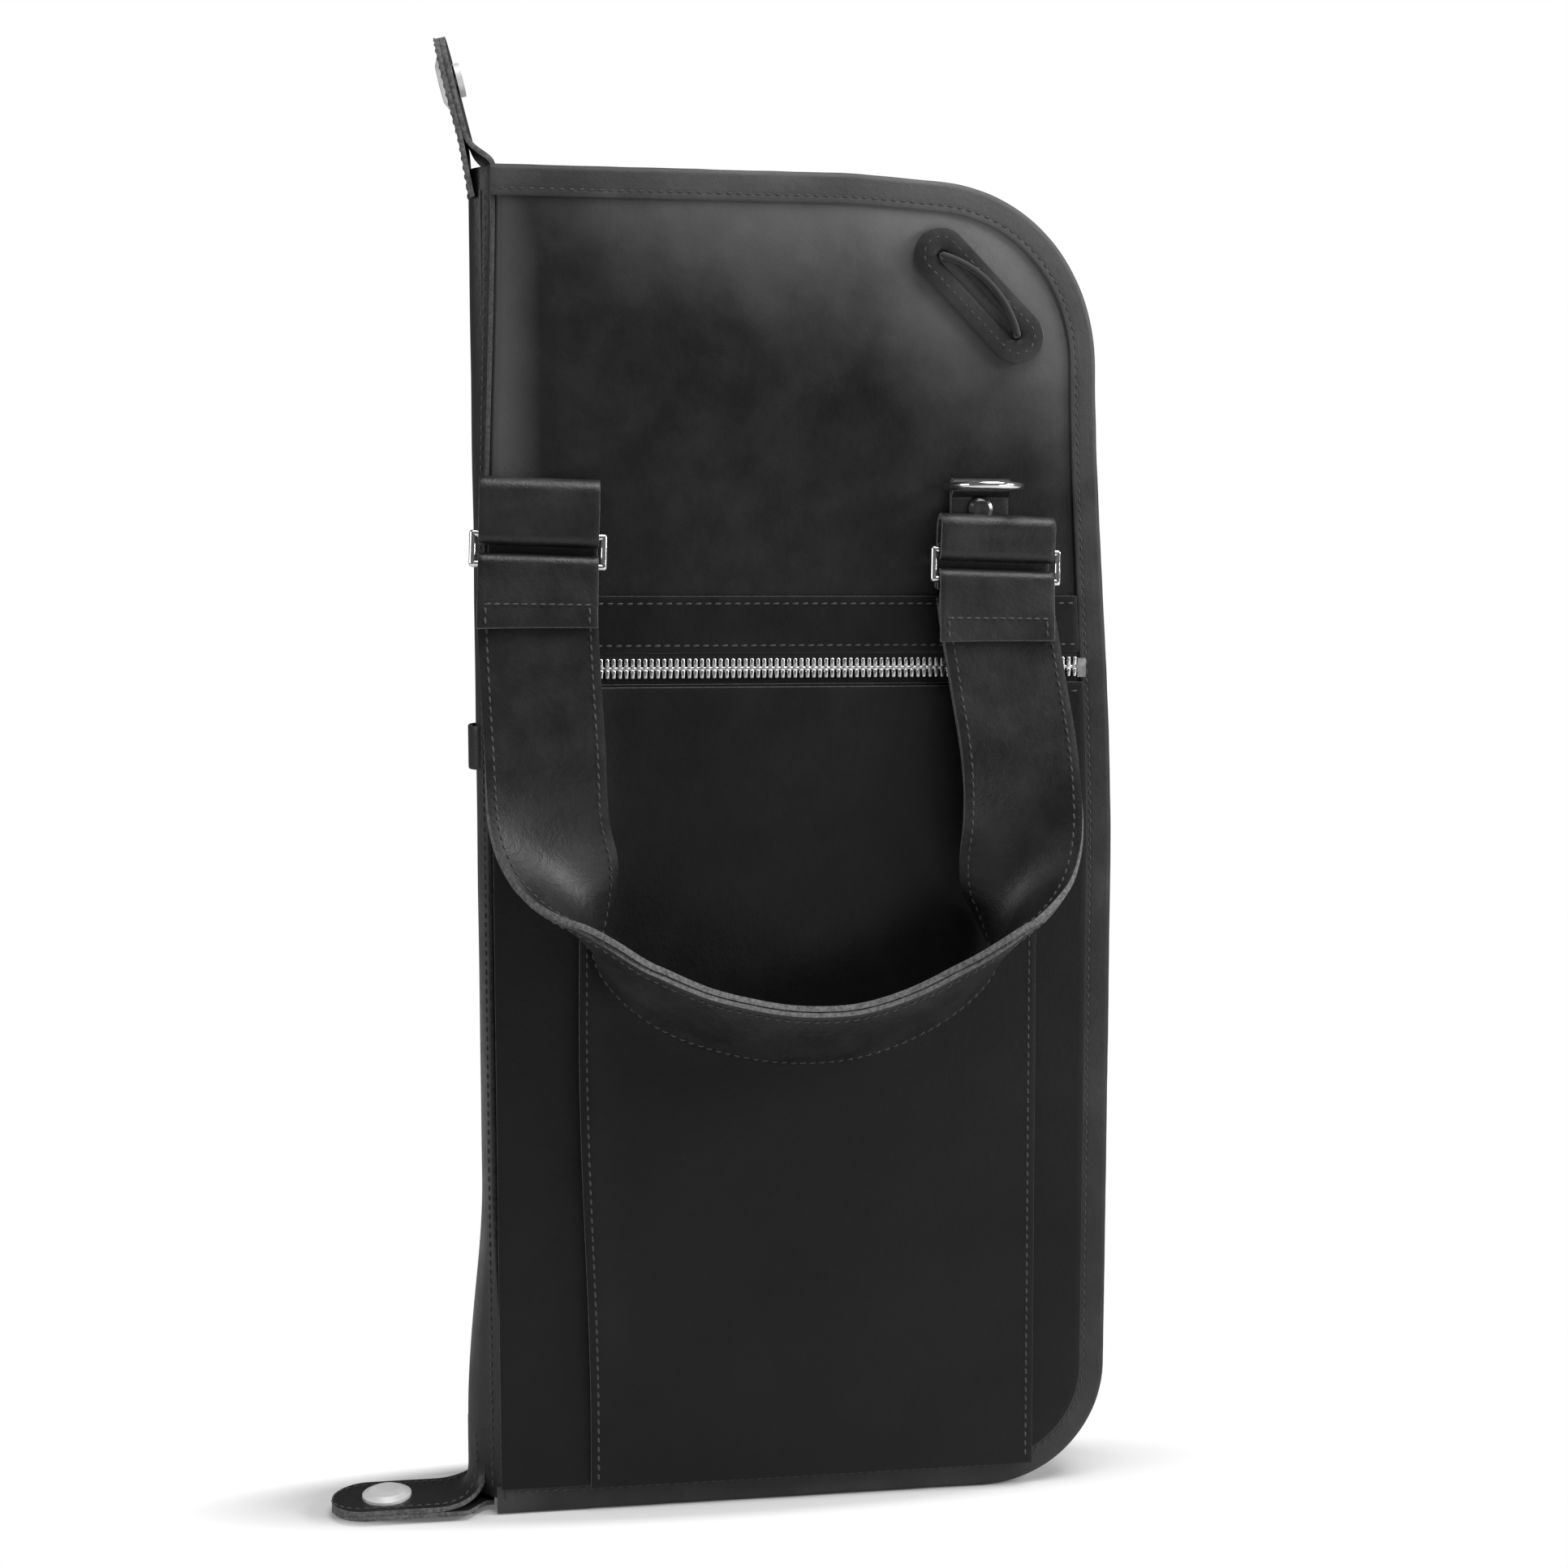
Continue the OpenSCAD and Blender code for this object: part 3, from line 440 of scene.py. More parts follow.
def rim_at(s):
    """Point x, z on the outer edge, s along it from the top left, and the way inwards from there."""
    if s < TOP_RUN:
        return LEFT + s, HIGH, 0.0, -1.0
    s -= TOP_RUN
    if s < TOP_ARC:
        a = math.pi / 2 - s / TOP_CORNER
        return (RIGHT - TOP_CORNER + TOP_CORNER * math.cos(a), HIGH - TOP_CORNER + TOP_CORNER * math.sin(a),
                -math.cos(a), -math.sin(a))
    s -= TOP_ARC
    if s < SIDE_RUN:
        return RIGHT, HIGH - TOP_CORNER - s, -1.0, 0.0
    s -= SIDE_RUN
    if s < LOW_ARC:
        a = -s / LOW_CORNER
        return (RIGHT - LOW_CORNER + LOW_CORNER * math.cos(a), LOW_CORNER + LOW_CORNER * math.sin(a),
                -math.cos(a), -math.sin(a))
    return RIGHT - LOW_CORNER - (s - LOW_ARC), 0.0, 0.0, 1.0


def rim_point(s, d, y):
    x, z, inx, inz = rim_at(min(max(s, 0.0), RIM))
    return settle(x + d * inx, y, z + d * inz)


def along_profile(profile, t):
    """Point at share t of an open line of (d, y) points."""
    steps = [math.dist(a, b) for a, b in zip(profile, profile[1:])]
    left = t * sum(steps)
    for (a, b), step in zip(zip(profile, profile[1:]), steps):
        if left <= step or (a, b) == (profile[-2], profile[-1]):
            share = min(1.0, left / step)
            return a[0] + (b[0] - a[0]) * share, a[1] + (b[1] - a[1]) * share
        left -= step


def on_half(half, y):
    return y if half == "front" else SEAM_BACK - y


def rim_piece(name, half, profile, thick, finish, edge=CUT_EDGE, cells=(260, 14), ripple=0.0):
    """A sheet that follows the whole rim with a profile of (distance inwards, y)."""
    def place(u, v):
        s = RIM * u
        d, y = along_profile(profile, v)
        d += ripple * noise.noise(Vector((s / 9, y / 6, 0.4))) * math.sin(math.pi * v)
        return rim_point(s, d, on_half(half, y))
    return cut_sheet(name, cells, place, thick, finish, edge, flip=half == "back", round_over=0.25)


BINDING_PROFILE = [(10.5, -3.0), (10.2, -3.3), (8.6, -3.36), (8.1, -3.16), (7.6, -3.36), (4.5, -3.4),
                   (1.8, -3.3), (0.6, -2.8), (0.05, -1.7), (0.0, 0.8), (0.35, 1.8), (1.3, 2.35), (4.9, 2.4)]
GUSSET_PROFILE = [(5.0, 0.3), (4.75, 3.0), (4.7, 5.5), (4.8, 8.5), (5.0, 10.5)]
TAPE_PROFILE = [(6.8, 7.6), (6.8, 13.0)]
FACE_SEAM_IN, FACE_SEAM_Y = 8.1, -3.2
SIDE_SEAM_IN, SIDE_SEAM_Y = 4.8, 9.3

for half in ("front", "back"):
    body = half + "_half"
    dress(rim_piece(half + "_binding_leather", half, BINDING_PROFILE, 1.2, BINDING_LEATHER, DARK_EDGE,
                    cells=(300, 40), ripple=0.12), body, "binding_leather", half + "_binding")
    dress(rim_piece(half + "_gusset_leather", half, GUSSET_PROFILE, 1.8, POCKET_LEATHER, ripple=0.35),
          body, "black_leather", half + "_gusset")
    dress(rim_piece(half + "_tape_cloth", half, TAPE_PROFILE, 0.7, TAPE, TAPE, cells=(240, 3)),
          body, "zip_tape", half + "_zip_tape")
    out_y = -1 if half == "front" else 1
    seam([(rim_point(s, FACE_SEAM_IN, on_half(half, FACE_SEAM_Y)), (0, out_y, 0))
          for s in spaced(2, RIM - 2, 400)], body)
    seam([(rim_point(s, SIDE_SEAM_IN, on_half(half, SIDE_SEAM_Y)), (-rim_at(s)[2], 0, -rim_at(s)[3]))
          for s in spaced(4, RIM - 4, 400)], body)


def one_tooth():
    """A zip tooth: a beaded head over two legs that grip the tape, head towards +Y."""
    bpy.ops.object.select_all(action="DESELECT")
    bpy.ops.mesh.primitive_cube_add(size=1)
    tooth = bpy.context.object
    for v in tooth.data.vertices:
        v.co = Vector((v.co.x * (1.25 if v.co.y < 0 else 1.0), v.co.y * 3.0, v.co.z * 2.3)) * MM
    bevel = tooth.modifiers.new("rounding", "BEVEL")
    bevel.width, bevel.segments = 0.28 * MM, 2
    apply_all(tooth)
    return tooth


TOOTH = one_tooth()
TOOTH_PITCH, TOOTH_IN, TOOTH_Y = 2.8, 7.15, 13.85
TEETH_FROM_END = 6
for half in ("front", "back"):
    frames = []
    for i in range(int((RIM - 2 * TEETH_FROM_END) / TOOTH_PITCH)):
        s = TEETH_FROM_END + (i + (0.5 if half == "back" else 0.0)) * TOOTH_PITCH
        here = Vector(rim_point(s - 0.5, TOOTH_IN, 0))
        further = Vector(rim_point(s + 0.5, TOOTH_IN, 0))
        along = (further - here).normalized()
        reach = Vector((0, 1 if half == "front" else -1, 0))
        frames.append((rim_point(s, TOOTH_IN, on_half(half, TOOTH_Y)), along, reach, along.cross(reach)))
    teeth = copies_on(half + "_teeth", TOOTH, frames, ZIP_METAL)
    dress(teeth, half + "_half", "zip_metal", half + "_zip_teeth")


# ---- faces of the two halves ----
def face_right(z, d):
    """The rim's x at a height, d inside the outer edge."""
    if z > HIGH - TOP_CORNER:
        r, dz = TOP_CORNER - d, z - (HIGH - TOP_CORNER)
        return RIGHT - TOP_CORNER + math.sqrt(max(0.0, r * r - dz * dz))
    if z < LOW_CORNER:
        r, dz = LOW_CORNER - d, LOW_CORNER - z
        return RIGHT - LOW_CORNER + math.sqrt(max(0.0, r * r - dz * dz))
    return RIGHT - d


TURN, TURN_SHARE = 5.0, 0.1
PANEL_IN, LINING_IN = 2.5, 7.5


def panel_place(half):
    """The leather of a face, which turns inwards along the spine over the first share of its width."""
    def place(u, v):
        z = PANEL_IN + (HIGH - 2 * PANEL_IN) * v
        if u < TURN_SHARE:
            a = math.pi / 2 * (1 - u / TURN_SHARE)
            x, y = LEFT + 0.2 + TURN * (1 - math.sin(a)), FACE + TURN * (1 - math.cos(a))
        else:
            x0 = LEFT + 0.2 + TURN
            x, y = x0 + (face_right(z, PANEL_IN) - x0) * (u - TURN_SHARE) / (1 - TURN_SHARE), FACE
            y += face_wave(x, z)
        return settle(x, on_half(half, y), z)
    return place


def lining_place(half):
    def place(u, v):
        z = LINING_IN + (HIGH - 2 * LINING_IN) * v
        x0 = LEFT + 2.5
        x = x0 + (face_right(z, LINING_IN) - x0) * u
        return settle(x, on_half(half, 0.2 + face_wave(x, z)), z)
    return place


for half in ("front", "back"):
    body = half + "_half"
    dress(cut_sheet(half + "_panel_leather", (70, 120), panel_place(half), 1.9, PANEL_LEATHER,
                    flip=half == "back"), body, "black_leather", half + "_panel")
    dress(cut_sheet(half + "_lining_cloth", (40, 80), lining_place(half), 0.6, LINING, LINING,
                    flip=half == "back", round_over=0.0), body, "lining_cloth", half + "_lining")


# ---- pocket on the face ----
def flat_on_face(x0, x1, z0, z1, y, sag=None):
    """A rectangle sewn on the face; x0 and x1 may be functions of the height."""
    def place(u, v):
        z = z0 + (z1 - z0) * v
        a = x0(z) if callable(x0) else x0
        b = x1(z) if callable(x1) else x1
        x = a + (b - a) * u
        lift = sag(u, v) if sag else 0.0
        return settle(x, y - lift + face_wave(x, z), z)
    return place


def inside_binding(z):
    return face_right(z, BINDING_WIDE + 0.1)


POCKET_LEFT = LEFT + 1.5
HEADER_LOW, HEADER_HIGH, PANEL_TOP = 301.8, 321.3, 291.3
TAPE_FACE, HEADER_FACE, ZIP_POCKET_FACE, SLIP_FACE = FACE - 0.6, FACE - 1.6, FACE - 2.1, FACE - 4.9
CHAIN_HALF = 3.3
POCKET_LOW, SLIP_HIGH = 9.5, 290.4
FACE_SEAM_LEFT, FACE_SEAM_RIGHT = POCKET_LEFT + 2, 98
dress(cut_sheet("pocket_header_leather", (90, 8),
                flat_on_face(POCKET_LEFT, inside_binding, HEADER_LOW, HEADER_HIGH, HEADER_FACE),
                1.5, POCKET_LEATHER), "front_half", "black_leather", "pocket_header")
upper_tape = cut_sheet("pocket_tape_upper", (60, 3),
                       flat_on_face(POCKET_LEFT, inside_binding, ZIP_Z + CHAIN_HALF, HEADER_LOW - 0.05,
                                    TAPE_FACE),
                       0.5, TAPE, TAPE, round_over=0.0)
lower_tape = cut_sheet("pocket_tape_lower", (60, 3),
                       flat_on_face(POCKET_LEFT, inside_binding, PANEL_TOP + 0.05, ZIP_Z - CHAIN_HALF,
                                    TAPE_FACE),
                       0.5, TAPE, TAPE, round_over=0.0)
dress(upper_tape, "front_half", "zip_tape", "pocket_zip_tape")
dress(lower_tape, "front_half", "zip_tape")


def pocket_swell(u, v):
    return 0.5 * math.sin(math.pi * u) * math.sin(math.pi * min(1.0, v * 1.05)) ** 0.5


dress(cut_sheet("zip_pocket_leather", (90, 90),
                flat_on_face(POCKET_LEFT, lambda z: face_right(z, POCKET_LOW), POCKET_LOW, PANEL_TOP,
                             ZIP_POCKET_FACE, pocket_swell),
                1.5, POCKET_LEATHER), "front_half", "black_leather", "zip_pocket_panel")


def slip_left(z):
    return -77.0 - 2.3 * ramp(z, 10, 185) + 0.5 * math.sin(z / 31)


def slip_right(z):
    return 81.9 - 0.6 * ramp(z, 20, 200)


def slip_swell(u, v):
    """The slip pocket stands off its panel most at its left edge and its mouth."""
    side = math.sin(math.pi * u) ** 0.6
    lip = 2.2 * math.exp(-(u / 0.06) ** 2) * ramp(v, 0.03, 0.25)
    return 0.5 * side * ramp(v, 0.03, 0.3) + lip + 0.25 * noise.noise(Vector((u * 3, v * 5, 7)))


dress(cut_sheet("slip_pocket_leather", (80, 90),
                flat_on_face(slip_left, slip_right, POCKET_LOW, SLIP_HIGH, SLIP_FACE, slip_swell),
                1.6, POCKET_LEATHER), "front_half", "black_leather", "slip_pocket_panel")

OUT = (0, -1, 0)


def face_line(x, z, y):
    return settle(x, y + face_wave(x, z), z)


for z in (HEADER_HIGH - 2.6, HEADER_LOW + 2.6):
    seam([(face_line(x, z, HEADER_FACE), OUT) for x in spaced(FACE_SEAM_LEFT, FACE_SEAM_RIGHT, 120)],
         "front_half", PALE_THREAD)
seam([(face_line(x, PANEL_TOP - 3.2, ZIP_POCKET_FACE - 0.15), OUT)
      for x in spaced(FACE_SEAM_LEFT, FACE_SEAM_RIGHT, 120)], "front_half", PALE_THREAD)
for edge, way, share in ((slip_left, 1, 0.016), (slip_right, -1, 0.984)):
    seam([(face_line(edge(z) + way * 2.6, z, SLIP_FACE - slip_swell(share, (z - POCKET_LOW) / 281)), OUT)
          for z in spaced(12, 287, 120)], "front_half", PALE_THREAD)

# ---- patch with a slot for the elastic ----
PATCH_X, PATCH_Z = 59.5, 423.7
PATCH_LONG, PATCH_WIDE, PATCH_THICK = 57.0, 18.6, 2.5
SLOT_LONG, SLOT_WIDE = 40.0, 3.0
DIAGONAL = math.sqrt(0.5)


def on_patch(a, b, lift):
    """A point of the slanted patch: a runs down to the right along it and b up to the right."""
    x, z = PATCH_X + DIAGONAL * (a + b), PATCH_Z + DIAGONAL * (b - a)
    return x, FACE - lift + face_wave(x, z), z


def stadium(u, length, width):
    """Point of a stadium's outline, u once round it clockwise, a quarter to each side and each end."""
    half, r = (length - width) / 2, width / 2
    quarter, share = int(u * 4) % 4, (u * 4) % 1.0
    if quarter == 0:
        return half + r * math.sin(math.pi * share), r * math.cos(math.pi * share)
    if quarter == 1:
        return half - 2 * half * share, -r
    if quarter == 2:
        return -half - r * math.sin(math.pi * share), -r * math.cos(math.pi * share)
    return -half + 2 * half * share, r


def patch_place(u, v):
    inner, outer = stadium(u, SLOT_LONG, SLOT_WIDE), stadium(u, PATCH_LONG, PATCH_WIDE)
    a, b = inner[0] + (outer[0] - inner[0]) * v, inner[1] + (outer[1] - inner[1]) * v
    return on_patch(a, b, PATCH_THICK + 0.5 * math.sin(math.pi * v) - 0.5 * (1 - ramp(v, 0, 0.12)))


patch = cut_sheet("cord_patch_leather", (96, 14), patch_place, 2.3, PATCH_LEATHER, DARK_EDGE, round_over=0.5)
dress(patch, "front_half", "black_leather", "cord_patch")
SEAM_LONG, SEAM_WIDE, SEAM_HEIGHT = PATCH_LONG - 7, PATCH_WIDE - 7, PATCH_THICK + 0.25
seam([(on_patch(*stadium(u, SEAM_LONG, SEAM_WIDE), SEAM_HEIGHT), OUT) for u in spaced(0, 0.9999, 121)],
     "front_half", PALE_THREAD, pitch=3.0)


# ---- straps folded round bars ----
def arc(middle, r, start, end, count=14):
    """Points (y, z) of an arc, its angles in degrees from the +Y side over the top."""
    return [(middle[0] + r * math.cos(math.radians(a)), middle[1] + r * math.sin(math.radians(a)))
            for a in spaced(start, end, count)]


def folded(name, path, x0, x1, thick, finish, put, cells=(20, 90), warp=None):
    """A strap across x that follows a path of (y, z), its outer side to the left of the path's way."""
    def place(u, v):
        y, z = along_profile(path, v)
        x = x0 + (x1 - x0) * u
        if warp:
            x, y, z = warp(x, y, z)
        return put(x, y, z)
    return cut_sheet(name, cells, place, thick, finish, CUT_EDGE, round_over=0.35)


RING_SLOPE = math.atan2(5.0, 156.7)
RING_AXIS_Z = 338.68
BAR_Y, LOOP_R = -8.1, 3.7
STRAP_HALF, STRAP_THICK = 20.0, 2.2
ANCHORS = {"left": (-91.5, 341.6, 19.2), "right": (65.2, 336.6, 12.6)}
ANCHOR_LOW = 323.4


def on_ring_axis(x, y, z):
    """A point beside the slanting line on which both wire rings turn, z counted from that line."""
    c, s = math.cos(RING_SLOPE), math.sin(RING_SLOPE)
    return x * c + z * s, y, RING_AXIS_Z - x * s + z * c


def anchor(side):
    x, ring_z, rise = ANCHORS[side]
    fold_r = (FACE - (BAR_Y - LOOP_R)) / 2
    fold = (FACE - fold_r, rise - fold_r)
    path = ([(BAR_Y + LOOP_R, 2.2)] + arc((BAR_Y, 0), LOOP_R, 0, -180, 18) + arc(fold, fold_r, 180, 0, 18)
            + [(FACE, ANCHOR_LOW - ring_z)])

    def warp(px, y, z):
        if y > FACE - 2.6 and px < LEFT + 1.2:
            px = LEFT + 1.2
        across = (px - x) / STRAP_HALF
        if y < BAR_Y:
            y += 0.45 * (1 - across ** 2) * math.sin(math.pi * min(1.0, max(0.0, z / max(1.0, fold[1]))))
        return px, y, z
    piece = folded(side + "_anchor_leather", path, x - STRAP_HALF, x + STRAP_HALF, STRAP_THICK,
                   STRAP_LEATHER, on_ring_axis, warp=warp)
    dress(piece, "front_half", "strap_leather", side + "_anchor_strap")


anchor("left")
anchor("right")

# D-ring keeper: doubled leather, riveted below the ring's bar
D_X, D_Z = 60.0, 358.5
KEEPER_R, KEEPER_HALF, KEEPER_LOW = 3.25, 10, 346.9
KEEPER_BAR = (FACE - KEEPER_R, D_Z)
keeper_path = ([(FACE - 3.2, KEEPER_LOW), (FACE - 3.2, D_Z - 3.4)] + arc(KEEPER_BAR, KEEPER_R, 205, 0, 20)
               + [(FACE, KEEPER_LOW)])
dress(folded("d_ring_keeper_leather", keeper_path, D_X - KEEPER_HALF, D_X + KEEPER_HALF, 1.55, STRAP_LEATHER,
             lambda x, y, z: (x, y, z), cells=(10, 70)), "front_half", "strap_leather", "d_ring_keeper")

# ---- handle ----
ARC_RISE = math.radians(36)
HANDLE_Y, HANDLE_LOW = -27.1, 172.8
# points of the handle's middle line, each with its turn: 0 flat along the bag, 1 standing out from it
HANDLE_PATH = [
    (-91.9, -8.8, 326.8, 0), (-92.2, -9.9, 320, 0), (-91.7, -13, 300, 0), (-90.4, -18.2, 270, 0),
    (-89.2, -22.4, 245.3, 0.2), (-83, -24.8, 229.2, 0.36), (-77.2, -27.3, 217.6, 0.55),
    (-71.1, -29, 206.8, 0.82), (-61.3, -28.3, 194, 0.94), (-44.2, -27.6, 182.5, 1),
    (-22.8, HANDLE_Y, 175.5, 1), (-3.7, HANDLE_Y, HANDLE_LOW, 1), (15.4, HANDLE_Y, 174, 1),
    (34.5, -27.6, 180.4, 1), (50.6, -28.3, 190.2, 1), (61, -29, 201.4, 0.92), (65.8, -27.3, 212.4, 0.68),
    (68.6, -24.8, 225, 0.43), (72, -22.4, 242.4, 0.2), (71.6, -18.2, 266, 0), (68.2, -13.4, 292.5, 0),
    (65, -9.8, 315.3, 0), (64.8, -8.8, 321.2, 0)]


def smooth_path(points, steps):
    """Catmull-Rom curve through the points, with steps samples to each stretch."""
    rows = np.array(points, float)
    ends = np.vstack([2 * rows[0] - rows[1], rows, 2 * rows[-1] - rows[-2]])
    out = []
    for a, b, c, d in zip(ends, ends[1:], ends[2:], ends[3:]):
        for t in np.arange(steps) / steps:
            out.append(0.5 * (2 * b + (c - a) * t + (2 * a - 5 * b + 4 * c - d) * t ** 2
                              + (3 * b - a - 3 * c + d) * t ** 3))
    return np.array(out + [rows[-1]])


handle_line = smooth_path(HANDLE_PATH, 12)
handle_turn = np.clip(handle_line[:, 3], 0, 1)
handle_line = handle_line[:, :3]
handle_way = np.gradient(handle_line, axis=0)
handle_way /= np.linalg.norm(handle_way, axis=1)[:, None]
LOWEST = 11
first_leg = np.where(handle_line[:, 0] < HANDLE_PATH[LOWEST][0], 1.0, -1.0)
handle_across = np.stack([first_leg * (1 - handle_turn), handle_turn * math.cos(ARC_RISE),
                          -handle_turn * math.sin(ARC_RISE)], axis=1)
handle_across -= (handle_across * handle_way).sum(1)[:, None] * handle_way
SMOOTH_REACH = 9
smooth_window = np.ones(2 * SMOOTH_REACH + 1) / (2 * SMOOTH_REACH + 1)
for column in range(3):
    padded = np.pad(handle_across[:, column], SMOOTH_REACH, mode="edge")
    handle_across[:, column] = np.convolve(padded, smooth_window, mode="valid")
handle_across -= (handle_across * handle_way).sum(1)[:, None] * handle_way
handle_across /= np.linalg.norm(handle_across, axis=1)[:, None]
handle_normal = np.cross(handle_way, handle_across)
handle_steps = np.concatenate([[0], np.cumsum(np.linalg.norm(np.diff(handle_line, axis=0), axis=1))])
HANDLE_LONG = handle_steps[-1]


def handle_at(length, side, height):
    """A point of the handle and its normal: length along it, side -1 to 1 from outer to inner edge,
    and height over its middle."""
    def value(rows):
        return np.array([np.interp(length, handle_steps, rows[:, k]) for k in range(3)])
    turn = np.interp(length, handle_steps, handle_turn)
    belly = (0.1 + 5.0 * math.sin(math.pi * min(1.0, turn)) + 1.1 * turn) * (1 - side * side)
    normal = value(handle_normal)
    return value(handle_line) + value(handle_across) * side * STRAP_HALF + normal * (height - belly), normal


def handle_sheet(name, height, thick, flip):
    return cut_sheet(name, (14, 260), lambda u, v: handle_at(v * HANDLE_LONG, 1 - 2 * u, height)[0], thick,
                     STRAP_LEATHER, CUT_EDGE, flip=flip, round_over=0.35)


def handle_seam(side, height, start, end):
    sign = 1 if height > 0 else -1
    seam([(tuple(p), tuple(n * sign)) for p, n in
          (handle_at(s, side, height) for s in spaced(start, end, 160))], "handle", PALE_THREAD)


dress(handle_sheet("handle_strap_leather", 2.2, 2.15, False), "handle", "strap_leather", "handle_strap")
dress(handle_sheet("handle_backing_leather", -1.9, 1.85, True), "handle", "strap_leather", "handle_backing")
SEAM_SIDE, SEAM_END = 0.86, 12
for side in (-SEAM_SIDE, SEAM_SIDE):
    handle_seam(side, 2.3, SEAM_END, HANDLE_LONG - SEAM_END)
    handle_seam(side, -2.0, SEAM_END, HANDLE_LONG - SEAM_END)

LOWER_BAR_Y, LOWER_BAR_DROP = -9.156, 10.045
LEG_TILT = math.radians(-9)
FLAP_LONG = 21.3


def on_lower_bar(x, y, z):
    """A point beside a ring's lower bar, turned by the leg's tilt, in the frame of the ring axis."""
    c, s = math.cos(LEG_TILT), math.sin(LEG_TILT)
    return on_ring_axis(x, LOWER_BAR_Y + y * c - z * s, -LOWER_BAR_DROP + y * s + z * c)


def handle_loop(side):
    x = ANCHORS[side][0]
    path = [(-LOOP_R, -FLAP_LONG)] + arc((0, 0), LOOP_R, 180, 0, 18) + [(LOOP_R, -3.2)]

    def warp(px, y, z):
        across = (px - x) / STRAP_HALF
        low = ramp(-z, 4, FLAP_LONG)
        return px, y - 0.5 * low * across ** 2, z + low * (0.7 * across - 0.25 * across ** 2)
    piece = folded(side + "_handle_loop_leather", path, x - STRAP_HALF, x + STRAP_HALF, STRAP_THICK,
                   STRAP_LEATHER, on_lower_bar, warp=warp)
    dress(piece, "handle", "strap_leather", side + "_handle_loop")
    front = -LOOP_R - 0.1
    tilted = Vector(on_lower_bar(0, -1, 0)) - Vector(on_lower_bar(0, 0, 0))
    seam([(on_lower_bar(*warp(px, front, -13.6)), tilted) for px in spaced(x - 18, x + 18, 20)], "handle",
         PALE_THREAD, pitch=3.0)
    for edge in (x - 17.2, x + 17.2):
        seam([(on_lower_bar(*warp(edge, front, z)), tilted) for z in spaced(-14, -20.6, 6)], "handle",
             PALE_THREAD, pitch=3.0)


handle_loop("left")
handle_loop("right")


# ---- inside: flat pocket on the front half, stick sleeves on the back half ----
INSIDE_HALF, INSIDE_LOW, INSIDE_HIGH = 78, 11.8, 170


def pocket_place(u, v):
    """The flat pocket: sewn down along its sides and foot, and standing off the lining in between."""
    x = INSIDE_HALF * math.cos(math.pi * u)
    z = INSIDE_LOW + INSIDE_HIGH * v ** 1.4
    near = min(INSIDE_HALF - abs(x), z - INSIDE_LOW)
    crease = 0.3 * noise.noise(Vector((x / 30, z / 30, 1)))
    return x, 1.3 + 10.9 * min(1.0, math.sqrt(near / 3.0)) + crease, z


dress(cut_sheet("inner_pocket_cloth", (60, 60), pocket_place, 0.9, LINING, LINING, round_over=0.0),
      "front_half", "lining_cloth", "inner_pocket")
seam([((x, 12.4, 177.5), (0, 1, 0)) for x in spaced(-72, 72, 40)], "front_half")

SLEEVE_START, SLEEVE_STEP, SLEEVES = -105.5, 48.45, 4
SLEEVE_LOW, SLEEVE_LONG, SLEEVE_BACK, SLEEVE_DEEP = 16.9, 254.7, 29.2, 12.6


def sleeve_place(u, v):
    """The stick sleeves: one cloth that bulges forward between its seams and closes at its foot."""
    part = u * SLEEVES
    bulge = abs(math.sin(math.pi * part)) ** 0.35
    z = SLEEVE_LOW + SLEEVE_LONG * v ** 1.4
    foot = min(1.0, math.sqrt((z - SLEEVE_LOW) / 4))
    x = SLEEVE_START + 0.6 + (SLEEVE_STEP * SLEEVES - 1.0) * u
    return x, SLEEVE_BACK - SLEEVE_DEEP * bulge * foot, z


dress(cut_sheet("stick_sleeves_cloth", (128, 60), sleeve_place, 0.9, LINING, LINING, round_over=0.0),
      "back_half", "lining_cloth", "stick_sleeves")
for i in range(SLEEVES + 1):
    x = SLEEVE_START + 0.8 + (SLEEVE_STEP * SLEEVES - 1.2) * i / SLEEVES
    seam([((x, 29.0, z), (0, -1, 0)) for z in spaced(20, 268, 60)], "back_half")


# ---- leather plates that carry the studs ----
def stud_plate(name, node, x0, x1, z, up):
    def place(u, v):
        y = 3.1 + 23.8 * (v if up > 0 else 1 - v)
        return x0 + (x1 - x0) * u, y, z
    plate = cut_sheet(name, (12, 10), place, 1.15, STRAP_LEATHER, CUT_EDGE)
    dress(plate, "front_half", "black_leather", node)
    left, right, near, far = x0 + 2.2, x1 - 2.2, 5.3, 24.7
    ring = [(left, near), (right, near), (right, far), (left, far), (left, near)]
    seam([((x, y, z + up * 0.05), (0, 0, up)) for x, y in ring], "front_half", pitch=2.8)


stud_plate("top_stud_leather", "top_stud_patch", -92.5, -62.5, 460.5, 1)
stud_plate("bottom_stud_leather", "bottom_stud_patch", -97.0, -67.0, 3.5, -1)

# ---- spine ----
SPINE_R, SPINE_AXIS_X = 43.04, -70.26
SPINE_HALF = math.asin(17.0 / SPINE_R)
SPINE_LOW, SPINE_HIGH = 5.6, 463.6
FLARE_TOP, FLARE_LOW = 118.0, 32.0


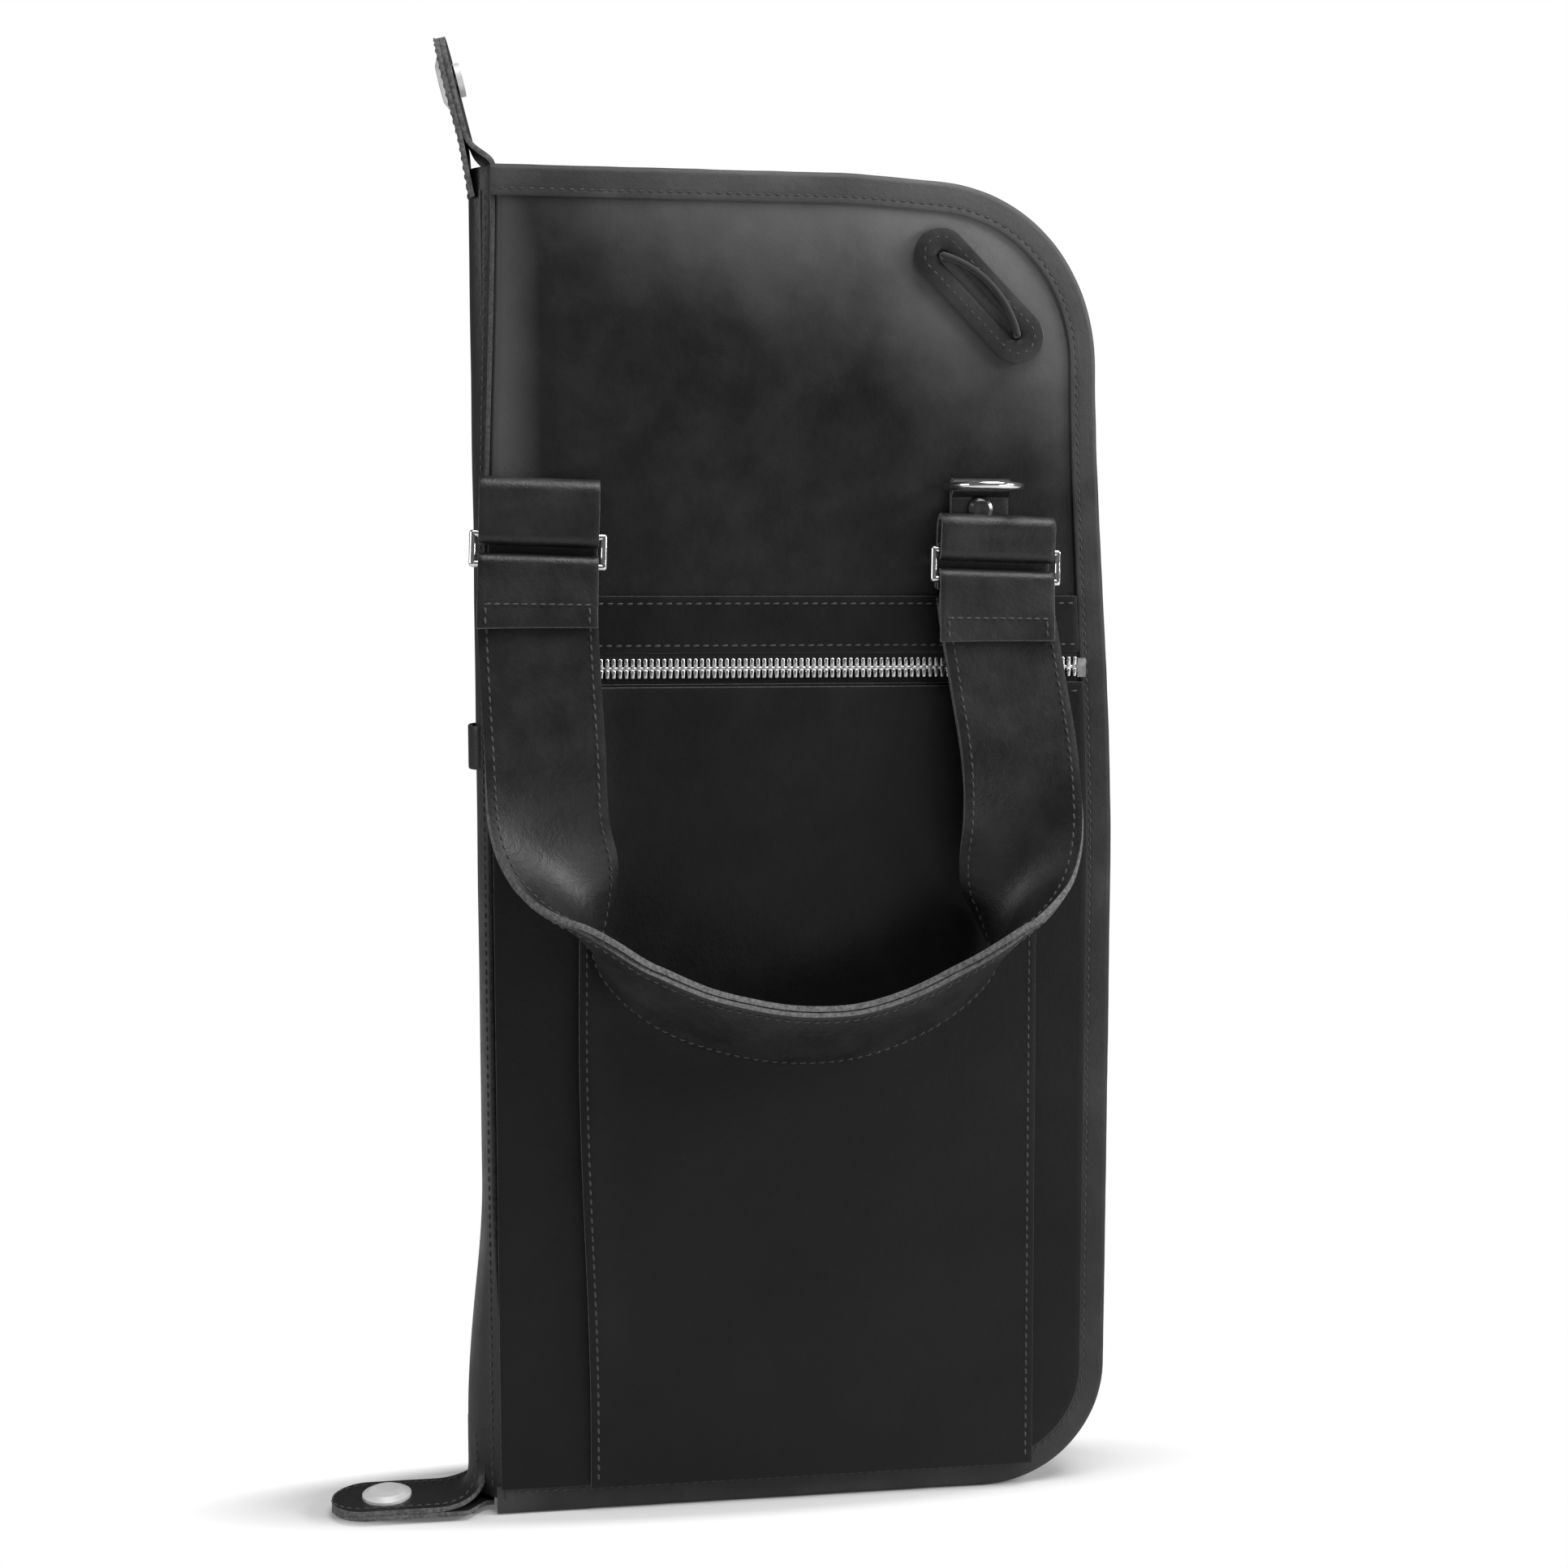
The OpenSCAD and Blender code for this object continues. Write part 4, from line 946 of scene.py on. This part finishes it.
def spine_at(share, z, out=0.0):
    """A point of the spine's outer side and its normal, share 0 at the front edge and 1 at the back edge."""
    a = (share * 2 - 1) * SPINE_HALF
    normal = Vector((-math.cos(a), math.sin(a), 0))
    x, y = SPINE_AXIS_X - (SPINE_R + out) * math.cos(a), MIDDLE + (SPINE_R + out) * math.sin(a)
    flare = 1 - ramp(z, FLARE_LOW, FLARE_TOP)
    lap = flare * (1 - ramp(share, 0, 0.2))
    x -= flare * 6.0 * math.sin(math.pi * share) ** 0.8
    x += lap * 3.3
    y -= lap * 1.7 * (1 - ramp(share, 0.06, 0.2))
    x += 0.35 * noise.noise(Vector((share * 2, z / 40, 5))) * math.sin(math.pi * share)
    x += 4.0 * ramp(z, 320, 466) * (1 - ramp(min(share, 1 - share), 0, 0.3))
    return Vector((x, y, z)), normal


def spine_place(u, v):
    return spine_at(1 - u, SPINE_LOW + (SPINE_HIGH - SPINE_LOW) * v)[0]


FRONT_HINGE_START, FRONT_HINGE_END = (-0.1075, -0.004, 0.232), (-0.1110, 0.0015, 0.232)
strip = cut_sheet("spine_leather", (36, 130), spine_place, 1.7, STRAP_LEATHER, DARK_EDGE)
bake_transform(strip)
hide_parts("spine_strip")
seam_heights = spaced(9, 455, 240)
seam([spine_at(0.085, z, 0.1) for z in seam_heights], None, PALE_THREAD,
     blended=("front_half", "spine", FRONT_HINGE_START, FRONT_HINGE_END))
seam([spine_at(0.92, z, 0.1) for z in seam_heights], "spine", PALE_THREAD)


def spine_lining_place(u, v):
    a = (u * 2 - 1) * SPINE_HALF * 0.8
    r = SPINE_R - 2.2
    return SPINE_AXIS_X - r * math.cos(a), MIDDLE + r * math.sin(a), 9 + 447 * v


dress(cut_sheet("spine_lining_cloth", (16, 60), spine_lining_place, 0.5, LINING, LINING, round_over=0.0),
      "spine", "lining_cloth", "spine_lining")


def keeper_place(u, v):
    """A flat loop across the spine: sewn down at both ends and raised between them."""
    y = 26 - 22 * u
    rise = 2.7 * min(1.0, math.sin(math.pi * u) * 1.6) ** 0.6
    a = math.asin((y - MIDDLE) / SPINE_R)
    r = SPINE_R + rise
    return SPINE_AXIS_X - r * math.cos(a), MIDDLE + r * math.sin(a), 262 + 15 * v


dress(cut_sheet("spine_keeper_leather", (28, 8), keeper_place, 1.5, STRAP_LEATHER, CUT_EDGE, round_over=0.4),
      "spine", "strap_leather", "spine_keeper")

# ---- snap tabs ----
TAB_HALF, TAB_LONG, TAB_R = 12.25, 52.0, 1.8
TOP_TAB_LONG, TAB_SHEET = 47.5, 1.75
TOP_ROOT, TOP_LEAN = (-110.5, 461.4), math.radians(14)
LOW_ROOT, LOW_TAB_Y = (-115.0, 3.9), 6.0
TOP_HINGE = ((-0.1105, 0.015, 0.4635), (-0.1127, 0.015, 0.4710))
LOW_HINGE = ((-0.1135, 0.006, 0.0120), (-0.1210, 0.006, 0.0030))


def tab_row(v, length, root_share=0.55):
    """How far along the tab a grid line lies, and half the tab's width there."""
    straight = length - TAB_HALF
    if v < root_share:
        return straight * v / root_share, TAB_HALF
    a = (v - root_share) / (1 - root_share) * math.pi / 2
    return straight + TAB_HALF * math.sin(a), TAB_HALF * max(0.01, math.cos(a))


def top_tab_place(side):
    """A layer of the top tab: the outer one (1) faces away from the bag, the inner one (-1) its top."""
    def place(u, v):
        along, half = tab_row(v, TOP_TAB_LONG)
        s = half * (1 - 2 * u) * side
        near = 1 - ramp(along, 0, 14)
        height = side * TAB_R + 0.3 * math.sin(math.pi * along / TOP_TAB_LONG) - 0.085 * s * (1 - near)
        z = TOP_ROOT[1] + along * math.cos(TOP_LEAN)
        if side > 0:
            z -= 7.0 * near
            height += 0.6 * near
        else:
            height -= 4.6 * near ** 1.5
            z += 2.0 * near
        x = TOP_ROOT[0] - along * math.sin(TOP_LEAN)
        return x - height * math.cos(TOP_LEAN), MIDDLE + s, z - height * math.sin(TOP_LEAN)
    return place


LOW_INNER_START = 4.5
# shares of the tab's grid where it leaves the spine and ends its turn, then the turn's reach and heights
ON_SPINE, TURN_END, TURN_REACH = 0.18, 0.45, 16.0
ROOT_HIGH, ROOT_LOW, TURN_AIM = 30, 16, 7


def low_tab_place(side):
    """A layer of the bottom tab: the upper one (1) runs down the spine, turns and lies on the floor."""
    def flat(c, reach, half):
        y = LOW_TAB_Y + half * (2 * c - 1) * side
        if side < 0:
            y = max(y, 1.5 - 7.8 * ramp(reach, -3, 6))
        return Vector((LOW_ROOT[0] - reach, y, LOW_ROOT[1] + side * TAB_R))

    def place(u, v):
        if side < 0:
            along, half = tab_row(v, TAB_LONG)
            return flat(u, along * (TAB_LONG + LOW_INNER_START) / TAB_LONG - LOW_INNER_START, half)
        across = 0.14 + 0.86 * u
        if v < ON_SPINE:
            return spine_at(across, ROOT_HIGH - (ROOT_HIGH - ROOT_LOW) * v / ON_SPINE, 0.12)[0]
        if v > TURN_END:
            t = (v - TURN_END) / (1 - TURN_END)
            along, half = tab_row(t, TAB_LONG - TURN_REACH, 0.45)
            return flat(u, TURN_REACH + along, half)
        t = (v - ON_SPINE) / (TURN_END - ON_SPINE)
        points = (spine_at(across, ROOT_LOW, 0.12)[0], spine_at(across, TURN_AIM, 0.12)[0],
                  flat(u, 5, TAB_HALF), flat(u, TURN_REACH, TAB_HALF))
        weights = ((1 - t) ** 3, 3 * t * (1 - t) ** 2, 3 * t * t * (1 - t), t ** 3)
        return sum((p * w for p, w in zip(points, weights)), Vector((0, 0, 0)))
    return place


def tab_seam(place, first, body, hinge):
    """Stitches up one long side of a tab layer, round its end and down the other side."""
    line = []
    for i in range(121):
        t = 1 - abs(1 - i / 60)
        v = first + (0.955 - first) * min(1.0, t / 0.9)
        u = 0.5 + (-0.4 if i < 60 else 0.4) * math.sqrt(max(0.0, min(1.0, (1 - t) / 0.1)))
        here = Vector(place(u, v))
        out = (Vector(place(u + 0.01, v)) - here).cross(Vector(place(u, v + 0.01)) - here)
        line.append((here, out.normalized()))
    seam(line, None, PALE_THREAD, pitch=3.0, blended=("spine", body, *hinge))


for node, layer, hinge in (("top_tab", top_tab_place, TOP_HINGE), ("bottom_tab", low_tab_place, LOW_HINGE)):
    for side, face in ((1, "_outer"), (-1, "_inner")):
        piece = cut_sheet(node + face + "_leather", (20, 60), layer(side), TAB_SHEET, STRAP_LEATHER,
                          CUT_EDGE, round_over=0.4)
        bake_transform(piece)
        if node == "bottom_tab" or side > 0:
            tab_seam(layer(side), 0.03, node, hinge)
        if side > 0:
            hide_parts(node)

# ---- hardware from the frame keeps its shape and takes its finish here ----
SNAP_PLATE = plated("snap_plate", 0.95, 0.38, metal=0.35)
RIVET_CAP = plated("rivet_cap", 0.12, 0.22)
HARDWARE = {
    RIVET_CAP: ("d_ring_rivet",),
    NICKEL: ("left_ring", "right_ring", "d_ring", "pocket_zip_slider", "pocket_zip_pull",
             "main_zip_slider", "main_zip_pull", "top_snap_stud", "bottom_snap_stud"),
    SNAP_PLATE: ("top_snap_cap", "top_snap_socket", "bottom_snap_cap", "bottom_snap_socket"),
    ZIP_METAL: ("pocket_zip_stops",),
    SHEATH: ("elastic_cord",),
}
for finish, names in HARDWARE.items():
    for name in names:
        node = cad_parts[name]
        node.data.materials.clear()
        node.data.materials.append(finish)

# the pocket zip's teeth: two close rows and the ridge where they mesh
chain_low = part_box("pocket_zip_teeth")[0]
chain_left, chain_front = chain_low.x / MM, chain_low.y / MM
chain_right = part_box("pocket_zip_stops")[1].x / MM - 1.0
FINE_PITCH, ROW_HALF = 2.15, 1.95
FIT_LONG, FIT_WIDE, FIT_HIGH = 1.15, 0.95, 0.75
RIDGE_WAVES = 2.92
fine_frames = []
for i in range(int((chain_right - chain_left - 1.2) / FINE_PITCH)):
    x = chain_left + 0.9 + i * FINE_PITCH
    for row in (1, -1):
        here = (x, chain_front + 0.9, ZIP_Z + 0.35 + row * ROW_HALF)
        fine_frames.append((here, (row * FIT_LONG, 0, 0), (0, 0, row * FIT_WIDE), (0, -FIT_HIGH, 0)))
fine_teeth = copies_on("pocket_zip_fine_teeth", TOOTH, fine_frames, ZIP_METAL)
dress(fine_teeth, "front_half", "zip_metal", "pocket_zip_teeth")


def ridge_place(u, v):
    a = math.pi * v
    return (chain_left + (chain_right - chain_left) * u,
            chain_front + 1.5 - 0.9 * math.sin(a)
            - 0.12 * math.sin(u * (chain_right - chain_left) * RIDGE_WAVES),
            ZIP_Z + 0.25 - 0.75 * math.cos(a))


dress(cut_sheet("pocket_zip_ridge", (330, 8), ridge_place, 0.8, ZIP_METAL, ZIP_METAL, round_over=0.0),
      "front_half", "zip_metal")

for pattern in (STITCH, TOOTH):
    bpy.data.objects.remove(pattern)

# ---- floor, light and background ----
# the floor shows white to the camera away from the bag, and its own shaded paper close round it
bpy.ops.object.select_all(action="DESELECT")
bpy.ops.mesh.primitive_plane_add(size=12, location=(0, 0, 0))
floor = bpy.context.object
floor.name = "floor"
paper, paper_shader, add, join = new_material("white_paper")
paper_shader.inputs["Base Color"].default_value = (0.8, 0.8, 0.8, 1)
paper_shader.inputs["Roughness"].default_value = 1.0
paper_shader.inputs["Specular IOR Level"].default_value = 0.0
place = add("ShaderNodeTexCoord")
flat = add("ShaderNodeMapping")
flat.inputs["Location"].default_value = (0.0165, -0.042, 0)
flat.inputs["Scale"].default_value = (0.5, 2.8, 0)
join(place, flat, out=OBJECT_PLACE)
far = add("ShaderNodeVectorMath", operation="LENGTH")
join(flat, far)
fade = add("ShaderNodeMapRange")
set_range(fade, 0.074, 0.092, 0.12, 1.0)
paper.node_tree.links.new(far.outputs["Value"], fade.inputs[0])
white = add("ShaderNodeEmission", Color=(1, 1, 1, 1), Strength=1.0)
seen = add("ShaderNodeLightPath")
share = add("ShaderNodeMath", operation="MULTIPLY")
paper.node_tree.links.new(seen.outputs["Is Camera Ray"], share.inputs[0])
paper.node_tree.links.new(fade.outputs[0], share.inputs[1])
blend_white = add("ShaderNodeMixShader")
paper.node_tree.links.new(share.outputs[0], blend_white.inputs[0])
paper.node_tree.links.new(paper_shader.outputs[0], blend_white.inputs[1])
paper.node_tree.links.new(white.outputs[0], blend_white.inputs[2])
out_node = paper.node_tree.nodes["Material Output"]
paper.node_tree.links.new(blend_white.outputs[0], out_node.inputs["Surface"])
floor.data.materials.append(paper)

world = bpy.data.worlds.new("studio")
bpy.context.scene.world = world
world.use_nodes = True
tree = world.node_tree
ambient = tree.nodes["Background"]
ambient.inputs["Color"].default_value = (1, 1, 1, 1)
ambient.inputs["Strength"].default_value = 0.13
backdrop = tree.nodes.new("ShaderNodeBackground")
backdrop.inputs["Color"].default_value = (1, 1, 1, 1)
backdrop.inputs["Strength"].default_value = 1.0
rays = tree.nodes.new("ShaderNodeLightPath")
either = tree.nodes.new("ShaderNodeMath")
either.operation = "MAXIMUM"
tree.links.new(rays.outputs["Is Camera Ray"], either.inputs[0])
tree.links.new(rays.outputs["Is Transmission Ray"], either.inputs[1])
choose = tree.nodes.new("ShaderNodeMixShader")
tree.links.new(either.outputs[0], choose.inputs[0])
tree.links.new(ambient.outputs[0], choose.inputs[1])
tree.links.new(backdrop.outputs[0], choose.inputs[2])
tree.links.new(choose.outputs[0], tree.nodes["World Output"].inputs["Surface"])


def soft_lamp(name, place, target, size, power):
    bpy.ops.object.select_all(action="DESELECT")
    bpy.ops.object.light_add(type="AREA", location=place)
    lamp = bpy.context.object
    lamp.name = name
    lamp.data.shape = "SQUARE"
    lamp.data.size = size
    lamp.data.energy = power
    lamp.rotation_euler = (Vector(target) - Vector(place)).to_track_quat("-Z", "Y").to_euler()


soft_lamp("top_light", (0.30, -0.40, 1.60), (0, 0, 0.30), 0.9, 19)
soft_lamp("right_light", (1.10, -0.42, 0.70), (0.1, 0, 0.35), 0.35, 9)
soft_lamp("low_light", (0.85, -0.95, 0.10), (0.05, 0, 0.20), 0.5, 2.5)
soft_lamp("left_light", (-1.1, -0.20, 0.6), (0, 0, 0.22), 0.6, 4)

bpy.context.scene.view_settings.view_transform = "Standard"
